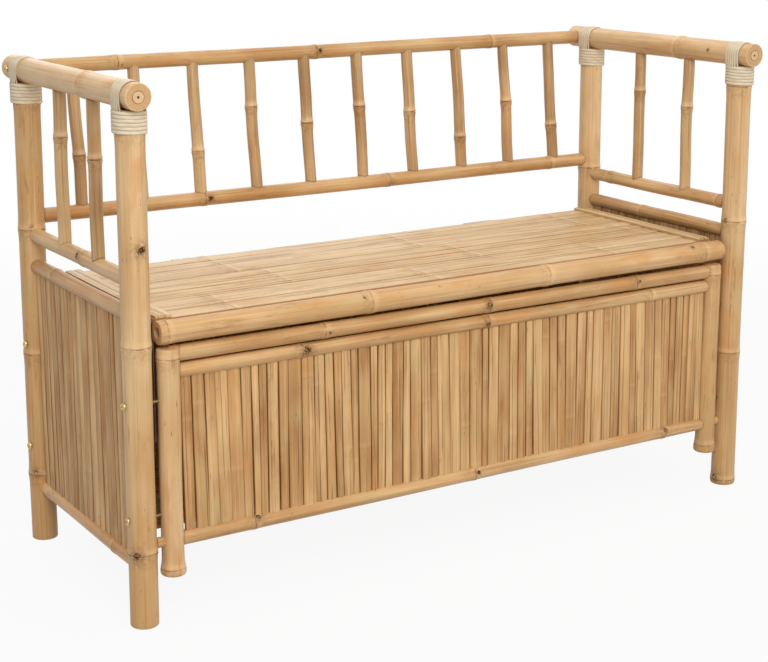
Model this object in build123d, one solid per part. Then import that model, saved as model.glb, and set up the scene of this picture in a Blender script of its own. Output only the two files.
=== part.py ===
"""Bamboo storage bench: a pole frame with arms and a spindled back, a slatted box and a hinged seat.

Millimetres, +Z up, front towards -Y. The origin is on the floor, under the middle of the bench.
"""

import math
import os

from build123d import *

# Plan and height of the frame
LEG_SPAN_X = 1140.0
LEG_SPAN_Y = 404.0
ARM_HEIGHT = 777.0
ARM_FRONT_OVERHANG = 34.0
ARM_REAR_OVERHANG = 53.0
REAR_PANEL_INSET = 12.0
STILE_GAP = 9.5

# Pole diameters
LEG_DIA = 43.0
ARM_DIA = 40.0
STILE_DIA = 34.0
LID_POLE_DIA = 35.0
BACK_TOP_RAIL_DIA = 25.0
BACK_LOWER_RAIL_DIA = 25.0
BACK_SPINDLE_DIA = 19.0
ARM_SPINDLE_DIA = 20.5
ARM_LOWER_RAIL_DIA = 24.0
SIDE_TOP_RAIL_DIA = 24.0
SIDE_BOTTOM_RAIL_DIA = 23.0
UPPER_RAIL_DIA = 25.0
SECOND_RAIL_DIA = 22.5
BOTTOM_RAIL_DIA = 23.0
HINGE_RAIL_DIA = 26.0
BEARER_DIA = 20.0

# Hollows of the culms and what closes them
LEG_BORE_DIA = 20.0
LEG_SOLID_TOP = 80.0
LID_POLE_BORE_DIA = 15.0
LID_POLE_BORE_DEPTH = 45.0
ARM_BORE_DIA = 18.0
ARM_PLUG_LENGTH = 16.0
PLUG_DIMPLE_DIA = 4.0
PLUG_DIMPLE_DEPTH = 1.0

# Nodes, the swollen rings along a culm
NODE_RISE = 0.9
NODE_HALF_LENGTH = 7.0
NODE_END_MARGIN = 24.0
POLE_INTERNODE = 225.0
RAIL_INTERNODE = 265.0
END_CHAMFER = 1.5

# Distance of one node from the start of its pole, and how far it shifts from piece to piece
LEG_FRONT_LEFT_NODE = 428.0
LEG_FRONT_RIGHT_NODE = 248.0
LEG_REAR_LEFT_NODE = 313.0
LEG_REAR_RIGHT_NODE = 262.0
ARM_NODE = 140.0
ARM_NODE_SHIFT = 40.0
SIDE_NODE_SHIFT = 60.0
ARM_LOWER_RAIL_NODE = 205.0
SIDE_TOP_RAIL_NODE = 180.0
SIDE_BOTTOM_RAIL_NODE = 150.0
ARM_SPINDLE_NODE = 120.0
ARM_SPINDLE_NODE_SHIFT = 35.0
BACK_LOWER_RAIL_NODE = 190.0
BACK_TOP_RAIL_NODE = 115.0
BACK_SPINDLE_NODE = 110.0
BACK_SPINDLE_NODE_SHIFT = 45.0
STILE_NODE = 60.0
STILE_NODE_SHIFT = 22.0
UPPER_RAIL_NODE = 250.0
SECOND_RAIL_NODE = 205.0
FRONT_BOTTOM_RAIL_NODE = 120.0
REAR_BOTTOM_RAIL_NODE = 160.0
HINGE_RAIL_NODE = 130.0
BEARER_NODE = 175.0
LID_POLE_NODE = 375.0

# Heights of the rails' axes above the floor
ARM_LOWER_RAIL_HEIGHT = 514.0
BACK_LOWER_RAIL_HEIGHT = 541.5
SIDE_TOP_RAIL_HEIGHT = 463.0
SIDE_BOTTOM_RAIL_HEIGHT = 90.0
BOTTOM_RAIL_HEIGHT = 121.0
UPPER_RAIL_HEIGHT = 403.0
FRONT_RAIL_FALL = 5.0
SECOND_RAIL_GAP = 0.2
STILE_FOOT_HEIGHT = 68.0
STILE_TOP_RISE = 9.0

# Back and arm spindles
BACK_SPINDLE_COUNT = 10
BACK_SPINDLE_PITCH = 107.4
BACK_RAKE = 30.0
ARM_SPINDLE_REAR = 58.0
ARM_SPINDLE_FRONT = 74.0

# Joints between poles
FIT = 0.15
TENON_DIA = 13.0
TENON_DEPTH = 13.0
SPINDLE_TENON_DIA = 9.0
SPINDLE_TENON_DEPTH = 7.0
TENON_ROOT = 6.0
LEG_COPE = 3.0
DOWEL_DIA = 12.0
DOWEL_IN_LEG = 30.0
DOWEL_IN_ARM = 22.0

# Split slats
SLAT_THICKNESS = 6.0
SLAT_CROWN = 1.2
SLAT_GAP = 0.8
SLAT_SPREAD = 0.3
SLAT_STEP = 2.4
FRONT_SLAT_PHASE = 0.0
REAR_SLAT_PHASE = 2.0
SIDE_SLAT_PHASE = 1.0
SEAT_SLAT_PHASE = 0.3
FLOOR_SLAT_PHASE = 0.5
SLAT_CLEARANCE = 0.25
GROOVE_DEPTH = 5.0
PANEL_SLAT_COUNT = 57
SIDE_SLAT_COUNT = 20
SEAT_SLAT_COUNT = 11
FLOOR_SLAT_COUNT = 9
FLOOR_MARGIN = 24.0
BEARER_SPREAD = 440.0

# Seat, which is the lid
LID_REST_GAP = 0.3
LID_DECK_RISE = 8.0
LID_POLE_LENGTH = 1076.0
SEAT_SLAT_LENGTH = 1066.0
SEAT_SLAT_THICKNESS = 7.0
SEAT_SLAT_CROWN = 1.0
LID_REAR_SETBACK = 37.0
BATTEN_WIDTH = 30.0
BATTEN_HEIGHT = 20.0
BATTEN_SPREAD = 420.0
REAR_BATTEN_DEPTH = 20.0
REAR_BATTEN_LENGTH = 1040.0
STRIP_WIDTH = 27.0
STRIP_THICKNESS = 4.0
STRIP_FRONT_GAP = 1.5
STRIP_END_SETBACK = 1.0

# Butt hinges
HINGE_SPREAD = 300.0
HINGE_LENGTH = 60.0
HINGE_LEAF_WIDTH = 26.0
HINGE_LEAF_THICKNESS = 2.0
KNUCKLE_DIA = 8.0
PIN_DIA = 4.0
PIN_CLEARANCE = 0.05
PIN_OVERHANG = 1.0
KNUCKLE_GAP = 0.4
KNUCKLE_RELIEF = 0.6
PIN_RISE = 2.6
HINGE_FLAT_DEPTH = 2.0
HINGE_SCREW_PITCH = 21.0
HINGE_SCREW_DIA = 3.0
HINGE_SCREW_LENGTH = 13.0
HINGE_SCREW_HEAD_DIA = 6.0
HINGE_SCREW_HEAD_HEIGHT = 1.6

# Frame screws
SCREW_DIA = 4.8
SCREW_HEAD_DIA = 9.0
SCREW_HEAD_HEIGHT = 3.2
SCREW_TIP = 3.0
SCREW_LOW_HEIGHT = 163.0
SCREW_HIGH_HEIGHT = 335.0
ARM_SCREW_GRIP = 30.0

# Cane lashings of the arms
CANE_WIDTH = 5.2
CANE_THICKNESS = 1.4
CANE_GAP = 0.6
CANE_CLEARANCE = 0.3
SADDLE_STRANDS = 5
SADDLE_DROP = 50.0
BAND_TURNS = 5
BAND_DROP = 26.5

# Places that follow from the sizes above
LEG_X = LEG_SPAN_X / 2
FRONT_Y = ARM_FRONT_OVERHANG - (LEG_SPAN_Y + ARM_FRONT_OVERHANG + ARM_REAR_OVERHANG) / 2
REAR_Y = FRONT_Y + LEG_SPAN_Y
MIDDLE_Y = (FRONT_Y + REAR_Y) / 2
REAR_PANEL_Y = REAR_Y - REAR_PANEL_INSET
STILE_X = LEG_X - LEG_DIA / 2 - STILE_GAP - STILE_DIA / 2
LEG_TOP = ARM_HEIGHT - ARM_DIA / 2 + LEG_COPE
SECOND_RAIL_HEIGHT = (
    UPPER_RAIL_HEIGHT - (UPPER_RAIL_DIA + SECOND_RAIL_DIA) / 2 - 2 * NODE_RISE - SECOND_RAIL_GAP
)
LID_POLE_HEIGHT = UPPER_RAIL_HEIGHT + (UPPER_RAIL_DIA + LID_POLE_DIA) / 2 + 2 * NODE_RISE + LID_REST_GAP
DECK_HEIGHT = LID_POLE_HEIGHT + LID_DECK_RISE
SEAT_TOP = DECK_HEIGHT + SEAT_SLAT_THICKNESS + SEAT_SLAT_CROWN
LID_REAR_Y = REAR_Y - LID_REAR_SETBACK
PIN_Y = LID_REAR_Y + KNUCKLE_DIA / 2
PIN_HEIGHT = DECK_HEIGHT + PIN_RISE
HINGE_FLAT_HEIGHT = PIN_HEIGHT - KNUCKLE_DIA / 2
HINGE_RAIL_HEIGHT = HINGE_FLAT_HEIGHT + HINGE_FLAT_DEPTH - HINGE_RAIL_DIA / 2
FLOOR_HEIGHT = BOTTOM_RAIL_HEIGHT + BEARER_DIA / 2
CANE_PITCH = CANE_WIDTH + CANE_GAP
SIDES = {"left": -1, "right": 1}
ROWS = {"front": FRONT_Y, "rear": REAR_Y}

UP = Vector(0, 0, 1)
nodes = {}


def rod(start, end, diameter):
    """A plain round bar between two points."""
    axis = Vector(end) - Vector(start)
    return Solid.make_cylinder(diameter / 2, axis.length, Plane(origin=start, z_dir=axis))


def block(low, high):
    """A box between two opposite corners."""
    low, high = Vector(low), Vector(high)
    size = high - low
    return Pos(*((low + high) / 2)) * Box(abs(size.X), abs(size.Y), abs(size.Z))


def whole(shape):
    """The one solid that a cut or a join leaves."""
    return max(shape.solids(), key=lambda solid: solid.volume)


def node_heights(length, first_node, internode):
    """Distances of the nodes along a culm, which repeat both ways from the first."""
    count = int(length // internode) + 1
    heights = [first_node + step * internode for step in range(-count, count + 1)]
    return [h for h in heights if NODE_END_MARGIN < h < length - NODE_END_MARGIN]


def culm(length, diameter, first_node, internode):
    """A bamboo culm standing on the XY plane, with a swollen ring at each node."""
    radius = diameter / 2
    points = [(0, 0), (radius - END_CHAMFER, 0), (radius, END_CHAMFER)]
    outline = [Polyline(*points)]
    last = points[-1]
    for height in node_heights(length, first_node, internode):
        below, above = (radius, height - NODE_HALF_LENGTH), (radius, height + NODE_HALF_LENGTH)
        outline += [Line(last, below), ThreePointArc(below, (radius + NODE_RISE, height), above)]
        last = above
    top = [last, (radius, length - END_CHAMFER), (radius - END_CHAMFER, length), (0, length), (0, 0)]
    outline.append(Polyline(*top))
    face = Plane.XZ * make_face([edge for part in outline for edge in part.edges()])
    return whole(revolve(face, Axis.Z))


class Pole:
    """A bamboo pole: its axis, its diameter and its solid."""

    def __init__(self, start, end, diameter, first_node, internode=RAIL_INTERNODE):
        self.start, self.end, self.diameter = Vector(start), Vector(end), diameter
        self.first_node, self.internode = first_node, internode
        self.solid = self.grown(0)

    def grown(self, extra):
        """The uncut pole with its radius larger by extra."""
        axis = self.end - self.start
        body = culm(axis.length, self.diameter + 2 * extra, self.first_node, self.internode)
        return body.moved(Plane(origin=self.start, z_dir=axis).location)

    def cut(self, tool):
        self.solid = whole(self.solid - tool)

    def add(self, piece):
        self.solid = whole(self.solid + piece)

    def sleeve(self):
        """The room that another pole leaves around this one."""
        return self.grown(FIT)

    def set_into(self, host, tip, diameter=TENON_DIA, depth=TENON_DEPTH):
        """Copes one end over the host and tenons it into a socket there."""
        near, far = (self.start, self.end) if tip == "start" else (self.end, self.start)
        away = (far - near).normalized()
        inner = host.diameter / 2 - depth
        outer = host.diameter / 2 + TENON_ROOT
        self.cut(host.sleeve())
        self.add(rod(near + away * inner, near + away * outer, diameter))
        host.cut(rod(near + away * (inner - FIT), near + away * outer, diameter + 2 * FIT))

    def bore_end(self, tip, diameter, depth):
        near, far = (self.start, self.end) if tip == "start" else (self.end, self.start)
        self.cut(rod(near, near + (far - near).normalized() * depth, diameter))


def slat_edges(low, high, count, phase):
    """Left and right edges of unequal slats that fill a width, with a gap between neighbours."""
    shares = [1 + SLAT_SPREAD * math.sin(SLAT_STEP * i * i + phase) for i in range(count)]
    scale = (high - low) / sum(shares)
    edges, left = [], low
    for share in shares:
        edges.append((left + SLAT_GAP / 2, left + share * scale - SLAT_GAP / 2))
        left += share * scale
    return edges


def crowned_slat(plane, edges, back, thickness, crown, start, end):
    """A split slat along the plane's Z, flat at its back and crowned towards the plane's -Y."""
    left, right = edges
    face_y = back - thickness
    crest = ((left + right) / 2, face_y - crown)
    outline = [
        Polyline((left, face_y), (left, back), (right, back), (right, face_y)),
        ThreePointArc((right, face_y), crest, (left, face_y)),
    ]
    face = make_face([edge for part in outline for edge in part.edges()])
    return whole(extrude(plane * Pos(0, 0, start) * face, end - start, plane.z_dir))


def groove_tool(plane, length, low, high):
    """The cutter for a slat groove along the plane's X, between two heights on the plane's Z."""
    near = -SLAT_THICKNESS / 2 - SLAT_CROWN - SLAT_CLEARANCE
    far = SLAT_THICKNESS / 2 + SLAT_CLEARANCE
    box = Box(length, far - near, high - low)
    return plane * Pos(0, (near + far) / 2, (low + high) / 2) * box


def slat_panel(plane, half_width, count, phase, bottom_rail_z, bottom_dia, top_rail_z, top_dia):
    """Upright slats between two grooved rails; top_rail_z gives the top rail's height at a place."""
    foot = bottom_rail_z + bottom_dia / 2 - GROOVE_DEPTH + SLAT_CLEARANCE
    head = GROOVE_DEPTH - SLAT_CLEARANCE - top_dia / 2
    slats = []
    for edges in slat_edges(-half_width, half_width, count, phase):
        top = min(top_rail_z(edge) for edge in edges) + head
        slats.append(crowned_slat(plane, edges, SLAT_THICKNESS / 2, SLAT_THICKNESS, SLAT_CROWN, foot, top))
    return slats


def screw(head_at, direction, head_dia, head_height, shank_dia, length):
    """A dome-headed screw; the head's flat underside is at head_at."""
    radius, dome = head_dia / 2, (head_dia**2 / 4 + head_height**2) / (2 * head_height)
    half_angle = math.asin(radius / dome) / 2
    shoulder = (dome * math.sin(half_angle), dome - head_height - dome * math.cos(half_angle))
    shank = shank_dia / 2
    outline = [
        ThreePointArc((0, -head_height), shoulder, (radius, 0)),
        Polyline((radius, 0), (shank, 0), (shank, length - SCREW_TIP), (0, length), (0, -head_height)),
    ]
    face = Plane.XZ * make_face([edge for part in outline for edge in part.edges()])
    return whole(revolve(face, Axis.Z)).moved(Plane(origin=head_at, z_dir=direction).location)


def make_frame_poles():
    """Legs, arms and the poles between them, with their copes, tenons and sockets."""
    front_end, rear_end = FRONT_Y - ARM_FRONT_OVERHANG, REAR_Y + ARM_REAR_OVERHANG
    arms = {
        name: Pole((side * LEG_X, front_end, ARM_HEIGHT), (side * LEG_X, rear_end, ARM_HEIGHT),
                   ARM_DIA, ARM_NODE + ARM_NODE_SHIFT * side, POLE_INTERNODE)
        for name, side in SIDES.items()
    }
    first_nodes = {
        ("front", "left"): LEG_FRONT_LEFT_NODE,
        ("front", "right"): LEG_FRONT_RIGHT_NODE,
        ("rear", "left"): LEG_REAR_LEFT_NODE,
        ("rear", "right"): LEG_REAR_RIGHT_NODE,
    }
    legs = {
        (row, name): Pole((SIDES[name] * LEG_X, ROWS[row], 0), (SIDES[name] * LEG_X, ROWS[row], LEG_TOP),
                          LEG_DIA, first_node, POLE_INTERNODE)
        for (row, name), first_node in first_nodes.items()
    }
    for (row, name), leg in legs.items():
        foot, x, y = leg.start, leg.start.X, leg.start.Y
        leg.cut(arms[name].sleeve())
        leg.cut(rod(foot, foot + UP * (LEG_TOP - LEG_SOLID_TOP), LEG_BORE_DIA))
        for face in (-1, 1):
            flat = x + face * ARM_DIA / 2
            low = ARM_HEIGHT - SADDLE_DROP - CANE_WIDTH
            leg.cut(block((flat, y - LEG_DIA, low), (flat + face * LEG_DIA, y + LEG_DIA, ARM_HEIGHT)))
        seat = ARM_HEIGHT - ARM_DIA / 2
        low, high = seat - DOWEL_IN_LEG - FIT, seat + DOWEL_IN_ARM + FIT
        hole = rod((x, y, low), (x, y, high), DOWEL_DIA + 2 * FIT)
        leg.cut(hole)
        arms[name].cut(hole)
    for arm in arms.values():
        for tip in ("start", "end"):
            arm.bore_end(tip, ARM_BORE_DIA, ARM_PLUG_LENGTH + FIT)
    return legs, arms


def make_side(name, side, legs, arm):
    """The rails, spindles and slats at one end of the bench."""
    x = side * LEG_X
    front, rear = legs["front", name], legs["rear", name]

    def rail(height, diameter, first_node):
        pole = Pole((x, FRONT_Y, height), (x, REAR_Y, height), diameter, first_node)
        pole.set_into(front, "start")
        pole.set_into(rear, "end")
        return pole

    shift = SIDE_NODE_SHIFT * side
    arm_lower = rail(ARM_LOWER_RAIL_HEIGHT, ARM_LOWER_RAIL_DIA, ARM_LOWER_RAIL_NODE - shift)
    top = rail(SIDE_TOP_RAIL_HEIGHT, SIDE_TOP_RAIL_DIA, SIDE_TOP_RAIL_NODE + shift)
    bottom = rail(SIDE_BOTTOM_RAIL_HEIGHT, SIDE_BOTTOM_RAIL_DIA, SIDE_BOTTOM_RAIL_NODE + shift)
    spindles = []
    for step, y in enumerate((MIDDLE_Y - ARM_SPINDLE_FRONT, MIDDLE_Y + ARM_SPINDLE_REAR)):
        first_node = ARM_SPINDLE_NODE + ARM_SPINDLE_NODE_SHIFT * step
        spindle = Pole((x, y, ARM_LOWER_RAIL_HEIGHT), (x, y, ARM_HEIGHT), ARM_SPINDLE_DIA, first_node)
        spindle.set_into(arm_lower, "start", SPINDLE_TENON_DIA, SPINDLE_TENON_DEPTH)
        spindle.set_into(arm, "end", SPINDLE_TENON_DIA, SPINDLE_TENON_DEPTH)
        spindles.append(spindle.solid)
    plane = Plane(origin=(x, MIDDLE_Y, 0), x_dir=(0, side, 0), z_dir=UP)
    half_width = (LEG_SPAN_Y - LEG_DIA) / 2 - SLAT_GAP
    slats = slat_panel(plane, half_width, SIDE_SLAT_COUNT, SIDE_SLAT_PHASE + side, SIDE_BOTTOM_RAIL_HEIGHT,
                       SIDE_BOTTOM_RAIL_DIA, lambda place: SIDE_TOP_RAIL_HEIGHT, SIDE_TOP_RAIL_DIA)
    top_face = SIDE_TOP_RAIL_HEIGHT - SIDE_TOP_RAIL_DIA / 2
    bottom_face = SIDE_BOTTOM_RAIL_HEIGHT + SIDE_BOTTOM_RAIL_DIA / 2
    top.cut(groove_tool(plane, 2 * half_width, top_face - GROOVE_DEPTH, top_face + GROOVE_DEPTH))
    bottom.cut(groove_tool(plane, 2 * half_width, bottom_face - GROOVE_DEPTH, bottom_face + GROOVE_DEPTH))
    nodes[f"arm_lower_rail_{name}"] = arm_lower.solid
    nodes[f"side_top_rail_{name}"] = top.solid
    nodes[f"side_bottom_rail_{name}"] = bottom.solid
    nodes[f"arm_spindles_{name}"] = spindles
    nodes[f"side_slats_{name}"] = slats


def make_back(legs, arms):
    """The two back rails and the raked spindles between them."""
    lower = Pole((-LEG_X, REAR_Y, BACK_LOWER_RAIL_HEIGHT), (LEG_X, REAR_Y, BACK_LOWER_RAIL_HEIGHT),
                 BACK_LOWER_RAIL_DIA, BACK_LOWER_RAIL_NODE)
    top = Pole((-LEG_X, REAR_Y + BACK_RAKE, ARM_HEIGHT), (LEG_X, REAR_Y + BACK_RAKE, ARM_HEIGHT),
               BACK_TOP_RAIL_DIA, BACK_TOP_RAIL_NODE)
    lower.set_into(legs["rear", "left"], "start")
    lower.set_into(legs["rear", "right"], "end")
    top.cut(arms["left"].sleeve())
    top.cut(arms["right"].sleeve())
    spindles = []
    for step in range(BACK_SPINDLE_COUNT):
        x = (step - (BACK_SPINDLE_COUNT - 1) / 2) * BACK_SPINDLE_PITCH
        first_node = BACK_SPINDLE_NODE + BACK_SPINDLE_NODE_SHIFT * math.sin(SLAT_STEP * step)
        spindle = Pole((x, REAR_Y, BACK_LOWER_RAIL_HEIGHT), (x, REAR_Y + BACK_RAKE, ARM_HEIGHT),
                       BACK_SPINDLE_DIA, first_node)
        spindle.set_into(lower, "start", SPINDLE_TENON_DIA, SPINDLE_TENON_DEPTH)
        spindle.set_into(top, "end", SPINDLE_TENON_DIA, SPINDLE_TENON_DEPTH)
        spindles.append(spindle.solid)
    screws = []
    for name, side in SIDES.items():
        head_at = Vector(side * (LEG_X + ARM_DIA / 2 + FIT), REAR_Y + BACK_RAKE, ARM_HEIGHT)
        inward = Vector(-side, 0, 0)
        length = ARM_DIA + ARM_SCREW_GRIP
        screws.append(screw(head_at, inward, SCREW_HEAD_DIA, SCREW_HEAD_HEIGHT, SCREW_DIA, length))
        hole = rod(head_at, head_at + inward * (length + FIT), SCREW_DIA + 2 * FIT)
        arms[name].cut(hole)
        top.cut(hole)
    nodes["back_lower_rail"] = lower.solid
    nodes["back_top_rail"] = top.solid
    nodes["back_spindles"] = spindles
    nodes["arm_screws"] = screws


def make_stiles(y, top):
    """The two uprights at the ends of the box's front or rear."""
    return {
        name: Pole((side * STILE_X, y, STILE_FOOT_HEIGHT), (side * STILE_X, y, top),
                   STILE_DIA, STILE_NODE + STILE_NODE_SHIFT * side, POLE_INTERNODE)
        for name, side in SIDES.items()
    }


def stile_rail(stiles, y, left_height, right_height, diameter, first_node, depth=TENON_DEPTH):
    """A rail of the box's front or rear, tenoned into the two stiles."""
    rail = Pole((-STILE_X, y, left_height), (STILE_X, y, right_height), diameter, first_node)
    rail.set_into(stiles["left"], "start", depth=depth)
    rail.set_into(stiles["right"], "end", depth=depth)
    return rail


def make_box_panels(legs):
    """Front and rear of the box: stiles screwed beside the legs, rails and upright slats."""
    through = STILE_DIA + STILE_GAP - FIT
    half_width = STILE_X - STILE_DIA / 2 - SLAT_GAP
    slope = -FRONT_RAIL_FALL / (2 * STILE_X)
    bottom_face = BOTTOM_RAIL_HEIGHT + BOTTOM_RAIL_DIA / 2

    def lower_groove(plane):
        return groove_tool(plane, 2 * half_width, bottom_face - GROOVE_DEPTH, bottom_face + GROOVE_DEPTH)

    front_stiles = make_stiles(FRONT_Y, UPPER_RAIL_HEIGHT + STILE_TOP_RISE)
    upper = stile_rail(front_stiles, FRONT_Y, UPPER_RAIL_HEIGHT, UPPER_RAIL_HEIGHT - FRONT_RAIL_FALL,
                       UPPER_RAIL_DIA, UPPER_RAIL_NODE)
    second = stile_rail(front_stiles, FRONT_Y, SECOND_RAIL_HEIGHT, SECOND_RAIL_HEIGHT - FRONT_RAIL_FALL,
                        SECOND_RAIL_DIA, SECOND_RAIL_NODE)
    bottom = stile_rail(front_stiles, FRONT_Y, BOTTOM_RAIL_HEIGHT, BOTTOM_RAIL_HEIGHT,
                        BOTTOM_RAIL_DIA, FRONT_BOTTOM_RAIL_NODE, through)
    plane = Plane(origin=(0, FRONT_Y, 0), x_dir=(1, 0, 0), z_dir=UP)
    middle_height = SECOND_RAIL_HEIGHT - FRONT_RAIL_FALL / 2
    nodes["front_slats"] = slat_panel(
        plane, half_width, PANEL_SLAT_COUNT, FRONT_SLAT_PHASE, BOTTOM_RAIL_HEIGHT, BOTTOM_RAIL_DIA,
        lambda place: middle_height + slope * place, SECOND_RAIL_DIA)
    bottom.cut(lower_groove(plane))
    tilted = Plane(origin=(0, FRONT_Y, middle_height), x_dir=(1, 0, slope), z_dir=(-slope, 0, 1))
    second.cut(groove_tool(tilted, 2 * half_width, -SECOND_RAIL_DIA, GROOVE_DEPTH - SECOND_RAIL_DIA / 2))

    rear_stiles = make_stiles(REAR_PANEL_Y, HINGE_RAIL_HEIGHT + STILE_TOP_RISE)
    hinge_rail = stile_rail(rear_stiles, REAR_PANEL_Y, HINGE_RAIL_HEIGHT, HINGE_RAIL_HEIGHT,
                            HINGE_RAIL_DIA, HINGE_RAIL_NODE)
    rear_bottom = stile_rail(rear_stiles, REAR_PANEL_Y, BOTTOM_RAIL_HEIGHT, BOTTOM_RAIL_HEIGHT,
                             BOTTOM_RAIL_DIA, REAR_BOTTOM_RAIL_NODE, through)
    plane = Plane(origin=(0, REAR_PANEL_Y, 0), x_dir=(-1, 0, 0), z_dir=UP)
    nodes["rear_slats"] = slat_panel(
        plane, half_width, PANEL_SLAT_COUNT, REAR_SLAT_PHASE, BOTTOM_RAIL_HEIGHT, BOTTOM_RAIL_DIA,
        lambda place: HINGE_RAIL_HEIGHT, HINGE_RAIL_DIA)
    rear_bottom.cut(lower_groove(plane))
    hinge_face = HINGE_RAIL_HEIGHT - HINGE_RAIL_DIA / 2
    hinge_rail.cut(groove_tool(plane, 2 * half_width, hinge_face - GROOVE_DEPTH, hinge_face + GROOVE_DEPTH))

    bearers = []
    for x in (-BEARER_SPREAD, 0.0, BEARER_SPREAD):
        bearer = Pole((x, FRONT_Y, BOTTOM_RAIL_HEIGHT), (x, REAR_PANEL_Y, BOTTOM_RAIL_HEIGHT),
                      BEARER_DIA, BEARER_NODE)
        bearer.set_into(bottom, "start", SPINDLE_TENON_DIA, SPINDLE_TENON_DEPTH)
        bearer.set_into(rear_bottom, "end", SPINDLE_TENON_DIA, SPINDLE_TENON_DEPTH)
        bearers.append(bearer.solid)
    nodes["floor_bearers"] = bearers

    screws = []
    for row, stiles, panel_y in (("front", front_stiles, FRONT_Y), ("rear", rear_stiles, REAR_PANEL_Y)):
        for name, side in SIDES.items():
            leg = legs[row, name]
            y = (leg.start.Y + panel_y) / 2
            for height in (SCREW_LOW_HEIGHT, SCREW_HIGH_HEIGHT):
                head_at = Vector(side * (LEG_X + LEG_DIA / 2 + FIT), y, height)
                inward = Vector(-side, 0, 0)
                length = LEG_X + LEG_DIA / 2 - STILE_X
                screws.append(screw(head_at, inward, SCREW_HEAD_DIA, SCREW_HEAD_HEIGHT, SCREW_DIA, length))
                hole = rod(head_at, head_at + inward * (length + FIT), SCREW_DIA + 2 * FIT)
                leg.cut(hole)
                leg.cut(rod(head_at, head_at - inward * SCREW_HEAD_HEIGHT, SCREW_HEAD_DIA + 2 * FIT))
                stiles[name].cut(hole)
    nodes["leg_screws"] = screws
    for name in SIDES:
        nodes[f"front_stile_{name}"] = front_stiles[name].solid
        nodes[f"rear_stile_{name}"] = rear_stiles[name].solid
    nodes["front_upper_rail"] = upper.solid
    nodes["front_second_rail"] = second.solid
    nodes["front_bottom_rail"] = bottom.solid
    nodes["rear_bottom_rail"] = rear_bottom.solid
    return hinge_rail


def make_floor():
    """The slats of the box floor, laid lengthwise on the bearers between the side slats."""
    half_length = LEG_X - SLAT_THICKNESS - SLAT_CROWN
    plane = Plane(origin=(0, 0, FLOOR_HEIGHT + NODE_RISE), x_dir=(0, -1, 0), z_dir=(1, 0, 0))
    low, high = FLOOR_MARGIN - REAR_PANEL_Y, -FLOOR_MARGIN - FRONT_Y
    nodes["floor_slats"] = [
        crowned_slat(plane, edges, 0, SLAT_THICKNESS, SLAT_CROWN, -half_length, half_length)
        for edges in slat_edges(low, high, FLOOR_SLAT_COUNT, FLOOR_SLAT_PHASE)
    ]


def make_lid():
    """The seat: a front pole, battens, long slats and two end strips."""
    half_pole = LID_POLE_LENGTH / 2
    pole = Pole((-half_pole, FRONT_Y, LID_POLE_HEIGHT), (half_pole, FRONT_Y, LID_POLE_HEIGHT),
                LID_POLE_DIA, LID_POLE_NODE, POLE_INTERNODE)
    for tip in ("start", "end"):
        pole.bore_end(tip, LID_POLE_BORE_DIA, LID_POLE_BORE_DEPTH)
    batten_low = DECK_HEIGHT - BATTEN_HEIGHT
    rear_front_y = LID_REAR_Y - REAR_BATTEN_DEPTH
    battens = []
    for x in (-BATTEN_SPREAD, 0.0, BATTEN_SPREAD):
        left, right = x - BATTEN_WIDTH / 2, x + BATTEN_WIDTH / 2
        bar = block((left, FRONT_Y, batten_low), (right, rear_front_y, DECK_HEIGHT))
        bar = whole(bar - pole.sleeve())
        tip = Vector(x, FRONT_Y + LID_POLE_DIA / 2 - TENON_DEPTH, LID_POLE_HEIGHT)
        root = Vector(x, FRONT_Y + LID_POLE_DIA / 2 + TENON_ROOT, LID_POLE_HEIGHT)
        pole.cut(rod(tip - Vector(0, FIT, 0), root, SPINDLE_TENON_DIA + 2 * FIT))
        battens.append(whole(bar + rod(tip, root, SPINDLE_TENON_DIA)))
    rear_batten = block((-REAR_BATTEN_LENGTH / 2, rear_front_y, batten_low),
                        (REAR_BATTEN_LENGTH / 2, LID_REAR_Y, DECK_HEIGHT))
    pole_reach = math.sqrt((LID_POLE_DIA / 2 + NODE_RISE) ** 2 - LID_DECK_RISE**2)
    slat_front = FRONT_Y + pole_reach + SLAT_CLEARANCE
    slat_rear = LID_REAR_Y - KNUCKLE_RELIEF
    plane = Plane(origin=(0, 0, DECK_HEIGHT), x_dir=(0, -1, 0), z_dir=(1, 0, 0))
    half_slat = SEAT_SLAT_LENGTH / 2
    nodes["lid_slats"] = [
        crowned_slat(plane, edges, 0, SEAT_SLAT_THICKNESS, SEAT_SLAT_CROWN, -half_slat, half_slat)
        for edges in slat_edges(-slat_rear, -slat_front, SEAT_SLAT_COUNT, SEAT_SLAT_PHASE)
    ]
    strip_low = SEAT_TOP + FIT
    strip_front = FRONT_Y + LID_POLE_DIA / 2 + STRIP_FRONT_GAP
    strip_outer = half_slat - STRIP_END_SETBACK
    nodes["lid_end_strips"] = [
        block((side * (strip_outer - STRIP_WIDTH), strip_front, strip_low),
              (side * strip_outer, slat_rear, strip_low + STRIP_THICKNESS))
        for side in SIDES.values()
    ]
    nodes["lid_front_pole"] = pole.solid
    nodes["lid_battens"] = battens
    return rear_batten


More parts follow.
